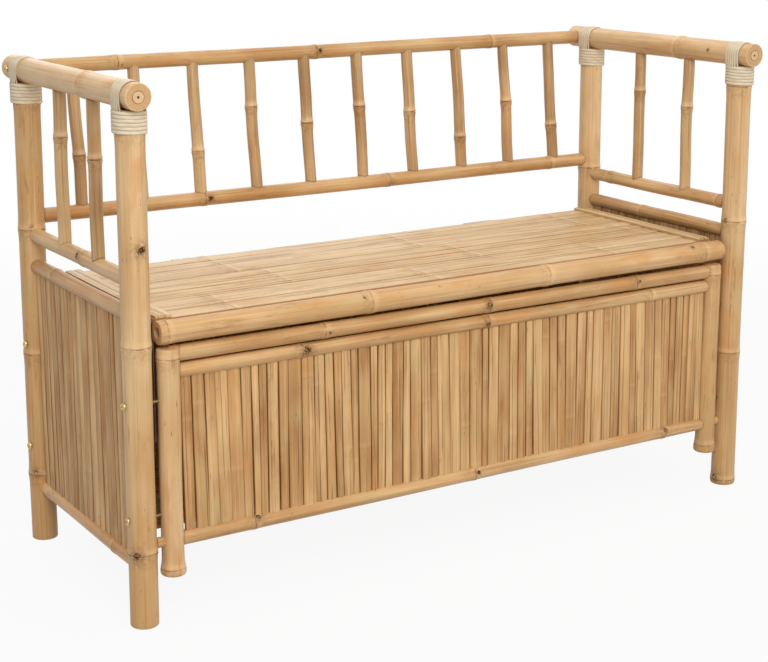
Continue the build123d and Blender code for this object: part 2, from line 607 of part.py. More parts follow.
def make_hinges(hinge_rail, rear_batten):
    """Two three-knuckle butt hinges between the hinge rail and the lid's rear batten."""
    third = HINGE_LENGTH / 3
    leaf_rear = PIN_Y + KNUCKLE_DIA / 2 + HINGE_LEAF_WIDTH
    leaf_top = HINGE_FLAT_HEIGHT + HINGE_LEAF_THICKNESS
    lid_leaf_low = DECK_HEIGHT - BATTEN_HEIGHT + HINGE_LEAF_THICKNESS / 2
    lid_leaf_y = LID_REAR_Y + HINGE_LEAF_THICKNESS
    relief = KNUCKLE_DIA / 2 + KNUCKLE_RELIEF
    pin_hole = PIN_DIA + 2 * PIN_CLEARANCE
    screw_size = (HINGE_SCREW_HEAD_DIA, HINGE_SCREW_HEAD_HEIGHT, HINGE_SCREW_DIA, HINGE_SCREW_LENGTH)
    box_screws, lid_screws = [], []

    def barrel(x0, x1, diameter):
        return rod((x0, PIN_Y, PIN_HEIGHT), (x1, PIN_Y, PIN_HEIGHT), diameter)

    for name, side in SIDES.items():
        x = side * HINGE_SPREAD
        x0, x3 = x - HINGE_LENGTH / 2, x + HINGE_LENGTH / 2
        x1, x2 = x0 + third, x0 + 2 * third
        bore = barrel(x0 - PIN_OVERHANG, x3 + PIN_OVERHANG, pin_hole)

        box_leaf = block((x0, PIN_Y, HINGE_FLAT_HEIGHT), (x3, leaf_rear, leaf_top))
        box_leaf -= block((x1 - KNUCKLE_GAP, PIN_Y - relief, HINGE_FLAT_HEIGHT - relief),
                          (x2 + KNUCKLE_GAP, PIN_Y + relief, PIN_HEIGHT + relief))
        box_leaf += barrel(x0, x1 - KNUCKLE_GAP, KNUCKLE_DIA)
        box_leaf += barrel(x2 + KNUCKLE_GAP, x3, KNUCKLE_DIA)
        box_leaf -= bore

        lid_leaf = block((x0, LID_REAR_Y, lid_leaf_low), (x3, lid_leaf_y, PIN_HEIGHT - relief))
        lid_leaf += block((x1, LID_REAR_Y, lid_leaf_low), (x2, lid_leaf_y, PIN_HEIGHT))
        lid_leaf += barrel(x1, x2, KNUCKLE_DIA)
        lid_leaf -= bore

        beyond = Vector(x3 + KNUCKLE_GAP, REAR_PANEL_Y + HINGE_RAIL_DIA, PIN_HEIGHT + HINGE_RAIL_DIA)
        hinge_rail.cut(block((x0 - KNUCKLE_GAP, PIN_Y, HINGE_FLAT_HEIGHT), beyond))
        lid_screw_z = (lid_leaf_low + PIN_HEIGHT - relief) / 2
        for step in (-1, 0, 1):
            place = x + step * HINGE_SCREW_PITCH
            down, ahead = Vector(0, 0, -1), Vector(0, -1, 0)
            on_box, on_lid = Vector(place, REAR_PANEL_Y, leaf_top), Vector(place, lid_leaf_y, lid_screw_z)
            box_screws.append(screw(on_box, down, *screw_size))
            lid_screws.append(screw(on_lid, ahead, *screw_size))
            box_hole = rod(on_box, on_box + down * (HINGE_SCREW_LENGTH + FIT), HINGE_SCREW_DIA + 2 * FIT)
            lid_hole = rod(on_lid, on_lid + ahead * (HINGE_SCREW_LENGTH + FIT), HINGE_SCREW_DIA + 2 * FIT)
            box_leaf -= box_hole
            hinge_rail.cut(box_hole)
            lid_leaf -= lid_hole
            rear_batten = rear_batten - lid_hole
        nodes[f"hinge_box_leaf_{name}"] = whole(box_leaf)
        nodes[f"hinge_lid_leaf_{name}"] = whole(lid_leaf)
        nodes[f"hinge_pin_{name}"] = barrel(x0 - PIN_OVERHANG, x3 + PIN_OVERHANG, PIN_DIA)
    nodes["hinge_rail"] = hinge_rail.solid
    nodes["lid_rear_batten"] = whole(rear_batten)
    nodes["hinge_box_screws"] = box_screws
    nodes["hinge_lid_screws"] = lid_screws


def saddle_path(reach):
    """The cane's way to and fro over the arm, from the side of the leg, about the crossing."""
    turn = CANE_PITCH / 2
    low = turn - SADDLE_DROP
    diagonal = reach * math.sqrt(0.5)
    edges, side = [], 1
    for strand in range(SADDLE_STRANDS):
        y = (strand - (SADDLE_STRANDS - 1) / 2) * CANE_PITCH
        near, far = side * reach, -side * reach
        edges += [
            Line((near, y, low), (near, y, 0)),
            ThreePointArc((near, y, 0), (side * diagonal, y, diagonal), (0, y, reach)),
            ThreePointArc((0, y, reach), (-side * diagonal, y, diagonal), (far, y, 0)),
            Line((far, y, 0), (far, y, low)),
        ]
        if strand < SADDLE_STRANDS - 1:
            bend = turn * math.sqrt(0.5)
            lowest = (far, y + turn, low - turn)
            edges += [
                ThreePointArc((far, y, low), (far, y + turn - bend, low - bend), lowest),
                ThreePointArc(lowest, (far, y + turn + bend, low - bend), (far, y + 2 * turn, low)),
            ]
        side = -side
    return Wire([edge for part in edges for edge in part.edges()])


def arc_through(start, corner, end):
    """The arc that leaves start towards corner and comes to end from it."""
    chord = (start + end) / 2
    half = (end - start).length / 2
    rise = (corner - chord).length
    sagitta = half * math.tan(math.atan2(rise, half) / 2)
    return ThreePointArc(start, chord + (corner - chord).normalized() * sagitta, end)


def band_path(radius):
    """The cane's turns round the leg, a biarc for each half turn, with straight ends."""
    climb = CANE_PITCH / (2 * math.pi)

    def place(angle):
        return Vector(radius * math.cos(angle), radius * math.sin(angle), -BAND_DROP - climb * angle)

    def heading(angle):
        return Vector(-radius * math.sin(angle), radius * math.cos(angle), -climb).normalized()

    first, last = 0.0, 2 * math.pi * BAND_TURNS
    edges = [Line(place(first) - heading(first) * CANE_WIDTH, place(first))]
    for step in range(2 * BAND_TURNS):
        a, b = step * math.pi, (step + 1) * math.pi
        span, ahead = place(b) - place(a), heading(a) + heading(b)
        square = 2 * (heading(a).dot(heading(b)) - 1)
        linear = -2 * span.dot(ahead)
        reach = (-linear - math.sqrt(linear**2 - 4 * square * span.dot(span))) / (2 * square)
        first_corner, last_corner = place(a) + heading(a) * reach, place(b) - heading(b) * reach
        middle = (first_corner + last_corner) / 2
        edges += [arc_through(place(a), first_corner, middle), arc_through(middle, last_corner, place(b))]
    edges.append(Line(place(last), place(last) + heading(last) * CANE_WIDTH))
    return Wire([edge for part in edges for edge in part.edges()])


def least_gap(path):
    """The least room between neighbouring strands of one cane, measured on points along it."""
    samples = 40 * (SADDLE_STRANDS + BAND_TURNS)
    points = [path.position_at(i / samples) for i in range(samples + 1)]
    apart = int(3 * CANE_PITCH / path.length * samples) + 1
    pairs = ((a, b) for a in range(samples + 1) for b in range(a + apart, samples + 1))
    return min((points[a] - points[b]).length for a, b in pairs) - CANE_WIDTH


def cane(path, width_way, guide=None):
    """Flat cane with rounded edges along a path; width_way is the strip's width at its start."""
    start = Plane(origin=path @ 0, x_dir=width_way, z_dir=path % 0)
    return whole(sweep(start * SlotOverall(CANE_WIDTH, CANE_THICKNESS), path, binormal=guide))


def make_lashings(legs):
    """A saddle of cane over each arm, bound by a band of cane round the leg."""
    reach = ARM_DIA / 2 + CANE_CLEARANCE + CANE_THICKNESS / 2
    corner = math.hypot(reach + CANE_THICKNESS / 2, (SADDLE_STRANDS - 1) / 2 * CANE_PITCH + CANE_WIDTH / 2)
    radius = max(corner, LEG_DIA / 2) + CANE_CLEARANCE + CANE_THICKNESS / 2
    saddle_line, band_line = saddle_path(reach), band_path(radius)
    print("least gap in the saddle", round(least_gap(saddle_line), 2))
    print("least gap in the band", round(least_gap(band_line), 2))
    saddle = cane(saddle_line, (0, 1, 0))
    band = cane(band_line, UP, band_line.moved(Pos(0, 0, CANE_WIDTH)))
    section = (CANE_WIDTH - CANE_THICKNESS) * CANE_THICKNESS + math.pi * CANE_THICKNESS**2 / 4
    print("saddle volume over section times length", round(saddle.volume / section / saddle_line.length, 4))
    print("band volume over section times length", round(band.volume / section / band_line.length, 4))
    for (row, name), leg in legs.items():
        crossing = Pos(leg.start.X, leg.start.Y, ARM_HEIGHT)
        nodes[f"lashing_{row}_{name}"] = [saddle.moved(crossing), band.moved(crossing)]


def make_arm_fittings(legs, arms):
    """The dowels between legs and arms, and the plugs in the arms' ends."""
    seat = ARM_HEIGHT - ARM_DIA / 2
    low, high = UP * (seat - DOWEL_IN_LEG), UP * (seat + DOWEL_IN_ARM)
    nodes["arm_dowels"] = [rod(leg.start + low, leg.start + high, DOWEL_DIA) for leg in legs.values()]
    plugs = []
    for arm in arms.values():
        for tip, away in ((arm.start, Vector(0, 1, 0)), (arm.end, Vector(0, -1, 0))):
            plug = rod(tip, tip + away * ARM_PLUG_LENGTH, ARM_BORE_DIA - 2 * FIT)
            plugs.append(whole(plug - rod(tip, tip + away * PLUG_DIMPLE_DEPTH, PLUG_DIMPLE_DIA)))
    nodes["arm_end_plugs"] = plugs


def make_bench():
    legs, arms = make_frame_poles()
    for name, side in SIDES.items():
        make_side(name, side, legs, arms[name])
    make_back(legs, arms)
    hinge_rail = make_box_panels(legs)
    make_floor()
    rear_batten = make_lid()
    make_hinges(hinge_rail, rear_batten)
    make_lashings(legs)
    make_arm_fittings(legs, arms)
    for (row, name), leg in legs.items():
        nodes[f"leg_{row}_{name}"] = leg.solid
    for name, arm in arms.items():
        nodes[f"arm_rail_{name}"] = arm.solid


make_bench()
os.makedirs("parts", exist_ok=True)
for node, shape in nodes.items():
    export_step(Compound(children=shape) if isinstance(shape, list) else shape, f"parts/{node}.step")
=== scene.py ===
import math
import random
from dataclasses import dataclass
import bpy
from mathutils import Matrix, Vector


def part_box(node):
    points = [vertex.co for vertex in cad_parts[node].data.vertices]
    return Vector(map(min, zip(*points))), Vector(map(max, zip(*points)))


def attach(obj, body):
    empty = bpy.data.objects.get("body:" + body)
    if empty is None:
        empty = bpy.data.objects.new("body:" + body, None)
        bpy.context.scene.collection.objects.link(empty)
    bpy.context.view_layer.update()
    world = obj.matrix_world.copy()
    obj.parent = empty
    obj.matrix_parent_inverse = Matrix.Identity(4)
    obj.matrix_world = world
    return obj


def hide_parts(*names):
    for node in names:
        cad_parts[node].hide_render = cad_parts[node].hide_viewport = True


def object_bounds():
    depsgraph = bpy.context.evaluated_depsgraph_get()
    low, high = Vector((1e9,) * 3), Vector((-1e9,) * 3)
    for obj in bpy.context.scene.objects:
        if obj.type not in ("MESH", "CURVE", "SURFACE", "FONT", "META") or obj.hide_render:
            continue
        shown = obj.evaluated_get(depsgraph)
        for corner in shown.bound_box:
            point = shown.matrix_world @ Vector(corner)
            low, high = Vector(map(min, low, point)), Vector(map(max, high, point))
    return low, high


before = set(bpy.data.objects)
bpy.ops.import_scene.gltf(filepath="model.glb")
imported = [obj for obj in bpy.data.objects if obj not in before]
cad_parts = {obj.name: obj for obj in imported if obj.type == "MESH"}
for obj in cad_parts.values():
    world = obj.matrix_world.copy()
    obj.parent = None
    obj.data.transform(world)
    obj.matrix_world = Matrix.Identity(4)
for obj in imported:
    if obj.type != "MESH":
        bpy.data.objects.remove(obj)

from types import SimpleNamespace

import bpy
import numpy as np
from mathutils import Matrix, Vector

bl_info = {
    "name": "Bamboo storage bench",
    "version": (1, 0, 0),
    "blender": (4, 5, 0),
    "location": "View3D > Sidebar > Bench",
    "description": "Dresses a bamboo storage bench with grown culms, split slats, cane lashings and a stage",
    "category": "Object",
}

CAD_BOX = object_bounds()
MM = 0.001
SIDES = {"left": -1, "right": 1}
ROWS = ("front", "rear")
LEGS = [f"leg_{row}_{side}" for row in ROWS for side in SIDES]


def tint(red, green, blue):
    """A colour written in 8-bit display levels, as linear light."""
    levels = (channel / 255 for channel in (red, green, blue))
    return tuple(v / 12.92 if v <= 0.04045 else ((v + 0.055) / 1.055) ** 2.4 for v in levels)


# Sizes and colours that a user would change


def length(name, description, millimetres):
    return bpy.props.FloatProperty(
        name=name, description=description, default=millimetres * MM, unit="LENGTH")


def colour(name, description, *levels):
    return bpy.props.FloatVectorProperty(
        name=name, description=description, default=tint(*levels), size=3, min=0, max=1, subtype="COLOR")


class BenchSizes(bpy.types.PropertyGroup):
    """Sizes of the bamboo, the cane and the fasteners"""

    node_rise: length("Node rise", "How far a node stands out of its culm", 0.9)
    thin_internode: length("Thin internode", "Distance between the nodes of a spindle or a bearer", 265)
    back_spindle: length("Back spindle", "Diameter of the spindles in the back", 20.5)
    arm_spindle: length("Arm spindle", "Diameter of the spindles under the arms", 20.5)
    bearer: length("Floor bearer", "Diameter of the bearers under the box floor", 20)
    stile_flare: length("Stile flare", "How much wider a stile's radius is at its foot", 2.2)
    leg_hollow: length("Leg hollow", "Diameter of a leg's hollow, seen from below", 20)
    arm_hollow: length("Arm hollow", "Diameter of the plugged hollow in an arm's end", 18.3)
    lid_hollow: length("Seat pole hollow", "Diameter of the hollow in the seat pole's ends", 17)
    tenon: length("Through tenon", "Diameter of the bottom rails' tenons", 16)
    slat_gap: length("Slat gap", "Gap between neighbouring slats", 0.8)
    slat_thickness: length("Slat thickness", "Thickness of a panel slat at its edges", 6)
    slat_crown: length("Slat crown", "Rise of a panel slat's rounded face", 1.7)
    seat_thickness: length("Seat slat thickness", "Thickness of a seat slat at its edges", 7)
    seat_crown: length("Seat slat crown", "Rise of a seat slat's rounded face", 1)
    cane_width: length("Cane width", "Width of the flat lashing cane", 5.5)
    cane_thickness: length("Cane thickness", "Thickness of the flat lashing cane", 2.0)
    cane_pitch: length("Cane pitch", "Distance between neighbouring turns of cane", 5.3)
    frame_screw_head: length("Frame screw head", "Diameter of the frame screws' heads", 9)
    frame_screw_dome: length("Frame screw dome", "Height of the frame screws' heads", 3.2)
    frame_screw_reach: length("Frame screw length", "Length of the frame screws' shanks", 68)
    hinge_screw_head: length("Hinge screw head", "Diameter of the hinge screws' heads", 6)
    hinge_screw_dome: length("Hinge screw dome", "Height of the hinge screws' heads", 1.6)
    hinge_screw_reach: length("Hinge screw length", "Length of the hinge screws' shanks", 13)
    hinge_screw_pitch: length("Hinge screw pitch", "Distance between a hinge's screws", 21)


class BenchColours(bpy.types.PropertyGroup):
    """Colours of the bamboo, the cane and the metal"""

    pole_pale: colour("Pole, pale", "Pale skin of the thick poles", 226, 190, 143)
    pole_deep: colour("Pole, deep", "Darker skin of the thick poles", 201, 157, 104)
    rail_pale: colour("Rail, pale", "Pale skin of the rails", 223, 184, 133)
    rail_deep: colour("Rail, deep", "Darker skin of the rails", 188, 142, 90)
    spindle_pale: colour("Spindle, pale", "Pale skin of the spindles", 216, 180, 132)
    spindle_deep: colour("Spindle, deep", "Darker skin of the spindles", 168, 129, 86)
    slat_pale: colour("Slat, pale", "Palest of the panel slats", 223, 182, 127)
    slat_deep: colour("Slat, deep", "Darkest of the panel slats", 172, 123, 72)
    seat_pale: colour("Seat, pale", "Palest of the seat slats", 222, 190, 142)
    seat_deep: colour("Seat, deep", "Darkest of the seat slats", 200, 160, 106)
    amber: colour("Amber patches", "Warm patches in the skin", 205, 142, 76)
    sage: colour("Sage patches", "Cool patches in the skin", 196, 172, 118)
    node_scar: colour("Node scar", "Dark ring and stains at the nodes", 96, 60, 30)
    fibre: colour("Fibre", "Brown fibre streaks", 156, 106, 58)
    cut_end: colour("Cut end", "Sawn end of a culm", 206, 164, 115)
    batten: colour("Batten", "Sawn battens and dowels", 206, 166, 116)
    plug: colour("Plug", "Sawn face of the arm plugs", 219, 184, 138)
    cane: colour("Cane", "Peeled lashing cane", 229, 212, 183)
    cane_shade: colour("Cane shade", "Darker streaks of the cane", 206, 184, 150)
    hinge: colour("Hinge", "Plated steel of the hinges", 188, 182, 166)
    screw: colour("Screw", "Yellow plated steel of the screws", 216, 188, 134)


# Node trees


def operation(name, swapped=False):
    def apply(self, other):
        pair = (other, self) if swapped else (self, other)
        return self.graph.math(name, *pair)
    return apply


class Number:
    """A number in a node tree; arithmetic on it adds Math nodes."""

    def __init__(self, graph, socket):
        self.graph = graph
        self.socket = socket

    __add__, __radd__ = operation("ADD"), operation("ADD", True)
    __sub__, __rsub__ = operation("SUBTRACT"), operation("SUBTRACT", True)
    __mul__, __rmul__ = operation("MULTIPLY"), operation("MULTIPLY", True)
    __truediv__, __rtruediv__ = operation("DIVIDE"), operation("DIVIDE", True)
    __gt__, __lt__ = operation("GREATER_THAN"), operation("LESS_THAN")

    def __abs__(self):
        return self.graph.math("ABSOLUTE", self)


class Graph:
    """A node tree, with the one way in which nodes are added to it."""

    def __init__(self, tree):
        self.tree = tree

    def node(self, kind, settings=None, sockets=None):
        made = self.tree.nodes.new(kind)
        for key, value in (settings or {}).items():
            setattr(made, key, value)
        for key, value in (sockets or {}).items():
            self.put(self.pick(made.inputs, key), value)
        return made

    @staticmethod
    def pick(sockets, key):
        if isinstance(key, int):
            return sockets[key]
        return next(socket for socket in sockets if socket.name == key and socket.enabled)

    def put(self, socket, value):
        value = value.socket if isinstance(value, Number) else value
        if isinstance(value, bpy.types.NodeSocket):
            self.tree.links.new(value, socket)
        else:
            socket.default_value = value

    def out(self, node, key=None):
        if key is None:
            return next(socket for socket in node.outputs if socket.enabled)
        return self.pick(node.outputs, key)

    def number(self, node, key=None):
        return Number(self, self.out(node, key))

    def math(self, name, *values):
        return self.number(self.node("ShaderNodeMath", {"operation": name}, dict(enumerate(values))))

    def vector_math(self, name, *values):
        return self.out(self.node("ShaderNodeVectorMath", {"operation": name}, dict(enumerate(values))))

    def combine(self, x=0.0, y=0.0, z=0.0):
        return self.out(self.node("ShaderNodeCombineXYZ", None, {"X": x, "Y": y, "Z": z}))

    def split(self, vector):
        parts = self.node("ShaderNodeSeparateXYZ", None, {"Vector": vector})
        return [Number(self, socket) for socket in parts.outputs]

    def noise_node(self, vector, detail=3.0, roughness=0.5):
        sockets = {"Vector": vector, "Scale": 1.0, "Detail": detail, "Roughness": roughness}
        return self.node("ShaderNodeTexNoise", {"noise_dimensions": "3D"}, sockets)

    def noise(self, vector, stretch, detail=3.0, roughness=0.5):
        """Noise over a vector whose parts are stretched first; more stretch makes it finer."""
        placed = self.vector_math("MULTIPLY", vector, stretch)
        return self.number(self.noise_node(placed, detail, roughness))

    def limit(self, value, low=0.0, high=1.0):
        return self.math("MINIMUM", self.math("MAXIMUM", value, low), high)

    def ramp(self, value, low, high):
        """0 below low, 1 above high, smooth between them."""
        settings = {"interpolation_type": "SMOOTHSTEP"}
        sockets = {"Value": value, "From Min": low, "From Max": high, "To Min": 0.0, "To Max": 1.0}
        return self.number(self.node("ShaderNodeMapRange", settings, sockets))

    def bell(self, value, width):
        """1 where value is 0, falling away over width."""
        share = value / width
        return self.math("EXPONENT", share * share * -1.0)


class Finish(Graph):
    """A material built around one Principled BSDF."""

    def __init__(self, name, **constants):
        self.material = bpy.data.materials.new(name)
        self.material.use_nodes = True
        super().__init__(self.material.node_tree)
        self.tree.nodes.clear()
        self.surface = self.node("ShaderNodeBsdfPrincipled")
        self.result = self.node("ShaderNodeOutputMaterial")
        self.tree.links.new(self.surface.outputs["BSDF"], self.result.inputs["Surface"])
        for key, value in constants.items():
            self.surface.inputs[key.replace("_", " ")].default_value = value

    def attribute(self, name):
        return self.out(self.node("ShaderNodeAttribute", {"attribute_name": name}), "Vector")

    def place(self):
        return self.out(self.node("ShaderNodeTexCoord"), "Object")

    def blend(self, share, first, second):
        first, second = ((*c, 1.0) if isinstance(c, tuple) else c for c in (first, second))
        settings = {"data_type": "RGBA", "clamp_factor": True}
        mixed = self.node("ShaderNodeMix", settings, {0: share, 6: first, 7: second})
        return mixed.outputs[2]

    def dress(self, base, roughness, relief):
        """Colour, roughness and a relief in metres go to the surface."""
        self.put(self.surface.inputs["Base Color"], base)
        self.put(self.surface.inputs["Roughness"], roughness)
        bump = self.node("ShaderNodeBump", None, {"Strength": 1.0, "Distance": 1.0, "Height": relief})
        self.tree.links.new(bump.outputs["Normal"], self.surface.inputs["Normal"])
        return self.material


class Recipe(Graph):
    """A Geometry Nodes tree with named inputs."""

    KINDS = {int: "NodeSocketInt", float: "NodeSocketFloat", "object": "NodeSocketObject",
             "material": "NodeSocketMaterial"}
    CRISP_ANGLE = math.radians(38)

    def __init__(self, name, **inputs):
        super().__init__(bpy.data.node_groups.new(name, "GeometryNodeTree"))
        face = self.tree.interface
        face.new_socket("Geometry", in_out="INPUT", socket_type="NodeSocketGeometry")
        face.new_socket("Geometry", in_out="OUTPUT", socket_type="NodeSocketGeometry")
        self.keys = {}
        for key, kind in inputs.items():
            label = key.replace("_", " ").capitalize()
            item = face.new_socket(label, in_out="INPUT", socket_type=self.KINDS[kind])
            self.keys[key] = item.identifier
        self.start = self.node("NodeGroupInput")
        self.end = self.node("NodeGroupOutput")
        self.given = dict(zip(inputs, list(self.start.outputs)[1:]))

    def __getitem__(self, key):
        return Number(self, self.given[key])

    def shape(self, kind, geometry=None, settings=None, sockets=None):
        made = self.node(kind, settings, sockets)
        if geometry is not None:
            self.tree.links.new(geometry, made.inputs[0])
        return made.outputs[0]

    def store(self, geometry, name, value, kind="FLOAT_VECTOR"):
        settings = {"data_type": kind, "domain": "POINT"}
        sockets = {"Name": name, "Value": value}
        return self.shape("GeometryNodeStoreNamedAttribute", geometry, settings, sockets)

    def forget(self, geometry, *names):
        for name in names:
            geometry = self.shape("GeometryNodeRemoveAttribute", geometry, None, {"Name": name})
        return geometry

    def move(self, geometry, **sockets):
        """Points put at a Position or shifted by an Offset."""
        return self.shape("GeometryNodeSetPosition", geometry, None, sockets)

    def read(self, name, kind="FLOAT_VECTOR"):
        return self.out(self.node("GeometryNodeInputNamedAttribute", {"data_type": kind}, {"Name": name}))

    def position(self):
        return self.out(self.node("GeometryNodeInputPosition"))

    def finish(self, geometry):
        """Smooth faces with crisp edges, the material, and the tree's end."""
        geometry = self.shape("GeometryNodeSetShadeSmooth", geometry, {"domain": "FACE"},
                              {"Shade Smooth": True})
        angle = self.number(self.node("GeometryNodeInputMeshEdgeAngle"), "Unsigned Angle")
        geometry = self.shape("GeometryNodeSetShadeSmooth", geometry, {"domain": "EDGE"},
                              {"Selection": angle > self.CRISP_ANGLE, "Shade Smooth": False})
        geometry = self.shape("GeometryNodeSetMaterial", geometry, None, {"Material": self["material"]})
        self.tree.links.new(geometry, self.end.inputs[0])
        return self

    def bake(self, name, values, base=None, placement=None):
        """Runs the recipe once and keeps the result as a plain mesh at the origin."""
        carrier = link_object(f"{name}_recipe", base or bpy.data.meshes.new(f"{name}_base"))
        modifier = carrier.modifiers.new("Recipe", "NODES")
        modifier.node_group = self.tree
        for key, value in values.items():
            modifier[self.keys[key]] = value
        graph = bpy.context.evaluated_depsgraph_get()
        mesh = bpy.data.meshes.new_from_object(carrier.evaluated_get(graph), depsgraph=graph)
        carrier.modifiers.clear()
        bpy.data.objects.remove(carrier)
        if not mesh.polygons:
            raise RuntimeError(f"the recipe for {name} made no faces")
        mesh.transform(placement or Matrix.Identity(4))
        mesh.name = name
        return link_object(name, mesh)


def link_object(name, data):
    made = bpy.data.objects.new(name, data)
    bpy.context.scene.collection.objects.link(made)
    return made


def vector_layer(mesh, name, vectors):
    """A vector for each point of a mesh, kept as a named attribute."""
    layer = mesh.attributes.new(name, "FLOAT_VECTOR", "POINT")
    layer.data.foreach_set("vector", np.asarray(vectors).astype(np.float32).ravel())


def settle(piece, body, slot, *nodes):
    """The piece rides on its body and stands for its nodes, which it hides; its slot is not used."""
    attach(piece, body)
    if nodes:
        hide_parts(*nodes)


def paint(material, *nodes):
    """A finish for nodes whose own shape is kept."""
    for node in nodes:
        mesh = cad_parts[node].data
        mesh.materials.clear()
        mesh.materials.append(material)


def middle(node):
    """The middle of a node's box."""
    low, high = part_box(node)
    return (low + high) / 2


# Finishes


def darker(shade, share):
    return tuple(share * channel for channel in shade)


def bamboo(name, pale, deep, colours, ring=0.7, halo=0.5, cracks=0.0, uneven=0.5, patches=0.4, gloss=0.40,
           edge=0.0, streaks=1.0):
    """Bamboo skin: fibre streaks, patches, flecks, node scars and, on split slats, cracks and painted shade
    along their edges.
    """
    art = Finish(name, IOR=1.46, Specular_IOR_Level=0.32, Coat_Weight=0.06, Coat_Roughness=0.28)
    grain = art.attribute("grain")
    run, internode, tone = art.split(art.attribute("growth"))
    near = art.math("WRAP", run, internode * 0.5, internode * -0.5)
    fibre, scar = colours.fibre, colours.node_scar
    light = tuple(min(1.0, 1.22 * c) for c in pale)

    fine = art.noise(grain, (900, 900, 8), 4.0, 0.6)
    streak = art.noise(grain, (330, 330, 4.5), 3.0, 0.55)
    broad = art.noise(grain, (95, 95, 2.5), 3.0)
    cloud = art.noise(grain, (22, 22, 9), 3.0)
    patch = art.noise(art.vector_math("ADD", grain, (3.1, 1.7, 0.9)), (32, 32, 11), 3.0)
    drift = art.noise(art.vector_math("ADD", grain, (0.7, 2.3, 1.1)), (7, 7, 5.5), 2.0)
    fleck = art.noise(grain, (360, 360, 70), 2.0)
    crumb = art.noise(grain, (170, 170, 170), 2.0)

    # A pole's tone holds its age and, on the legs, painted shade towards the foot
    shade = tone * uneven + (broad - 0.5) * 1.5 + (cloud - 0.5) * 1.3 + (drift - 0.5) * 1.7
    shade = shade + (0.5 - uneven * 0.5)
    base = art.blend(art.limit(shade), pale, deep)
    base = art.blend(art.ramp(patch, 0.53, 0.72) * patches, base, colours.amber)
    base = art.blend(art.ramp(patch, 0.47, 0.28) * patches, base, colours.sage)
    base = art.blend(art.ramp(streak, 0.52, 0.76) * (0.45 * streaks), base, fibre)
    base = art.blend(art.ramp(streak, 0.46, 0.25) * (0.35 * streaks), base, light)
    base = art.blend(art.ramp(fine, 0.54, 0.80) * (0.35 * min(streaks, 1.0)), base, fibre)
    specks = art.ramp(fleck, 0.68, 0.76) * art.ramp(cloud, 0.46, 0.62)
    base = art.blend(specks * 0.7, base, scar)
    weather = art.noise(art.vector_math("ADD", grain, (1.9, 0.4, 2.7)), (150, 150, 26), 3.0, 0.6)
    stains = art.ramp(weather, 0.54, 0.70) * art.ramp(drift, 0.48, 0.60) * patches
    base = art.blend(stains * 0.8, base, darker(fibre, 0.75))

    ragged = near + (crumb - 0.5) * (2.6 * MM)
    line = art.bell(ragged, 1.0 * MM) * art.ramp(broad, 0.28, 0.60) * ring
    under = art.bell(near + 10 * MM, 10 * MM) * art.ramp(crumb, 0.30, 0.70) * halo
    over = art.bell(near - 6 * MM, 4.5 * MM) * halo
    base = art.blend(over * 0.45, base, light)
    base = art.blend(under * 0.6, base, fibre)
    base = art.blend(line, base, scar)
    # The attribute's parts: the stain about buds, painted shadow at joints, painted shade inside a hollow
    stain_and_shade, painted_joint_shadow, _ = art.split(art.attribute("stain_and_shade"))
    base = art.blend(stain_and_shade * art.ramp(crumb, 0.25, 0.65) * 0.8, base, scar)
    # Painted shadow along the line where the culm meets a host
    base = art.blend(painted_joint_shadow * 0.5, base, darker(scar, 0.4))
    relief = (streak * (0.35 * MM) + fine * (0.1 * MM)) * min(streaks, 1.0) - line * (0.4 * MM)

    if cracks:
        across = art.split(art.attribute("across"))[0]
        for turn in (1.0, 5.0):
            lane = art.math("FRACT", tone * turn) * 1.4 - 0.7
            wander = art.noise(art.vector_math("ADD", grain, (turn, 0.0, 0.0)), (1, 1, 4), 3.0)
            wander = (wander - 0.5) * 0.7
            opened = art.noise(art.vector_math("ADD", grain, (0.0, turn, 3.0)), (1, 1, 6), 2.0)
            crack = art.ramp(abs(across - lane - wander), 0.085, 0.020)
            crack = crack * art.ramp(opened, 0.47, 0.55) * cracks
            base = art.blend(crack, base, darker(fibre, 0.35))
            relief = relief - crack * (0.5 * MM)
        # Painted shade along a slat's edges, stronger on some slats, for the shade in the gaps between slats
        painted_gap_shade = art.math("FRACT", tone * 9.0) * edge
        base = art.blend(art.ramp(abs(across), 0.78, 1.0) * painted_gap_shade, base, fibre)
    return art.dress(base, streak * 0.22 + (gloss - 0.1), relief)


def sawn_end(name, colours):
    """The sawn end of a culm: pale pith with dark dots of fibre in faint rings, and painted shade deepening
    into the hollow.
    """
    art = Finish(name, IOR=1.45)
    grain = art.attribute("grain")
    x, y, _ = art.split(grain)
    dots = art.noise(grain, (1500, 1500, 40), 2.0)
    rings = art.noise(art.combine(art.math("SQRT", x * x + y * y), 0.0, 0.0), (700, 1, 1), 2.0)
    base = art.blend(art.ramp(dots, 0.5, 0.72) * 0.55, colours.cut_end, colours.fibre)
    base = art.blend(art.ramp(rings, 0.52, 0.7) * 0.45, base, colours.fibre)
    # Painted shade inside a hollow end, darkest at its bottom
    inside = art.split(art.attribute("stain_and_shade"))[2]
    base = art.blend(art.ramp(inside, 0.0, 0.8), base, darker(colours.node_scar, 0.25))
    return art.dress(base, dots * 0.2 + 0.6, dots * (0.3 * MM))


def sawn_wood(name, colours, stretch):
    """Bare sawn wood with its grain along the axis of least stretch."""
    art = Finish(name, IOR=1.45)
    place = art.place()
    fine = art.noise(place, stretch, 5.0, 0.6)
    broad = art.noise(place, tuple(s * 0.16 for s in stretch), 3.0)
    base = art.blend(art.ramp(broad, 0.35, 0.7), colours.batten, darker(colours.batten, 0.72))
    base = art.blend(art.ramp(fine, 0.55, 0.8) * 0.6, base, colours.fibre)
    return art.dress(base, fine * 0.2 + 0.55, fine * (0.3 * MM))


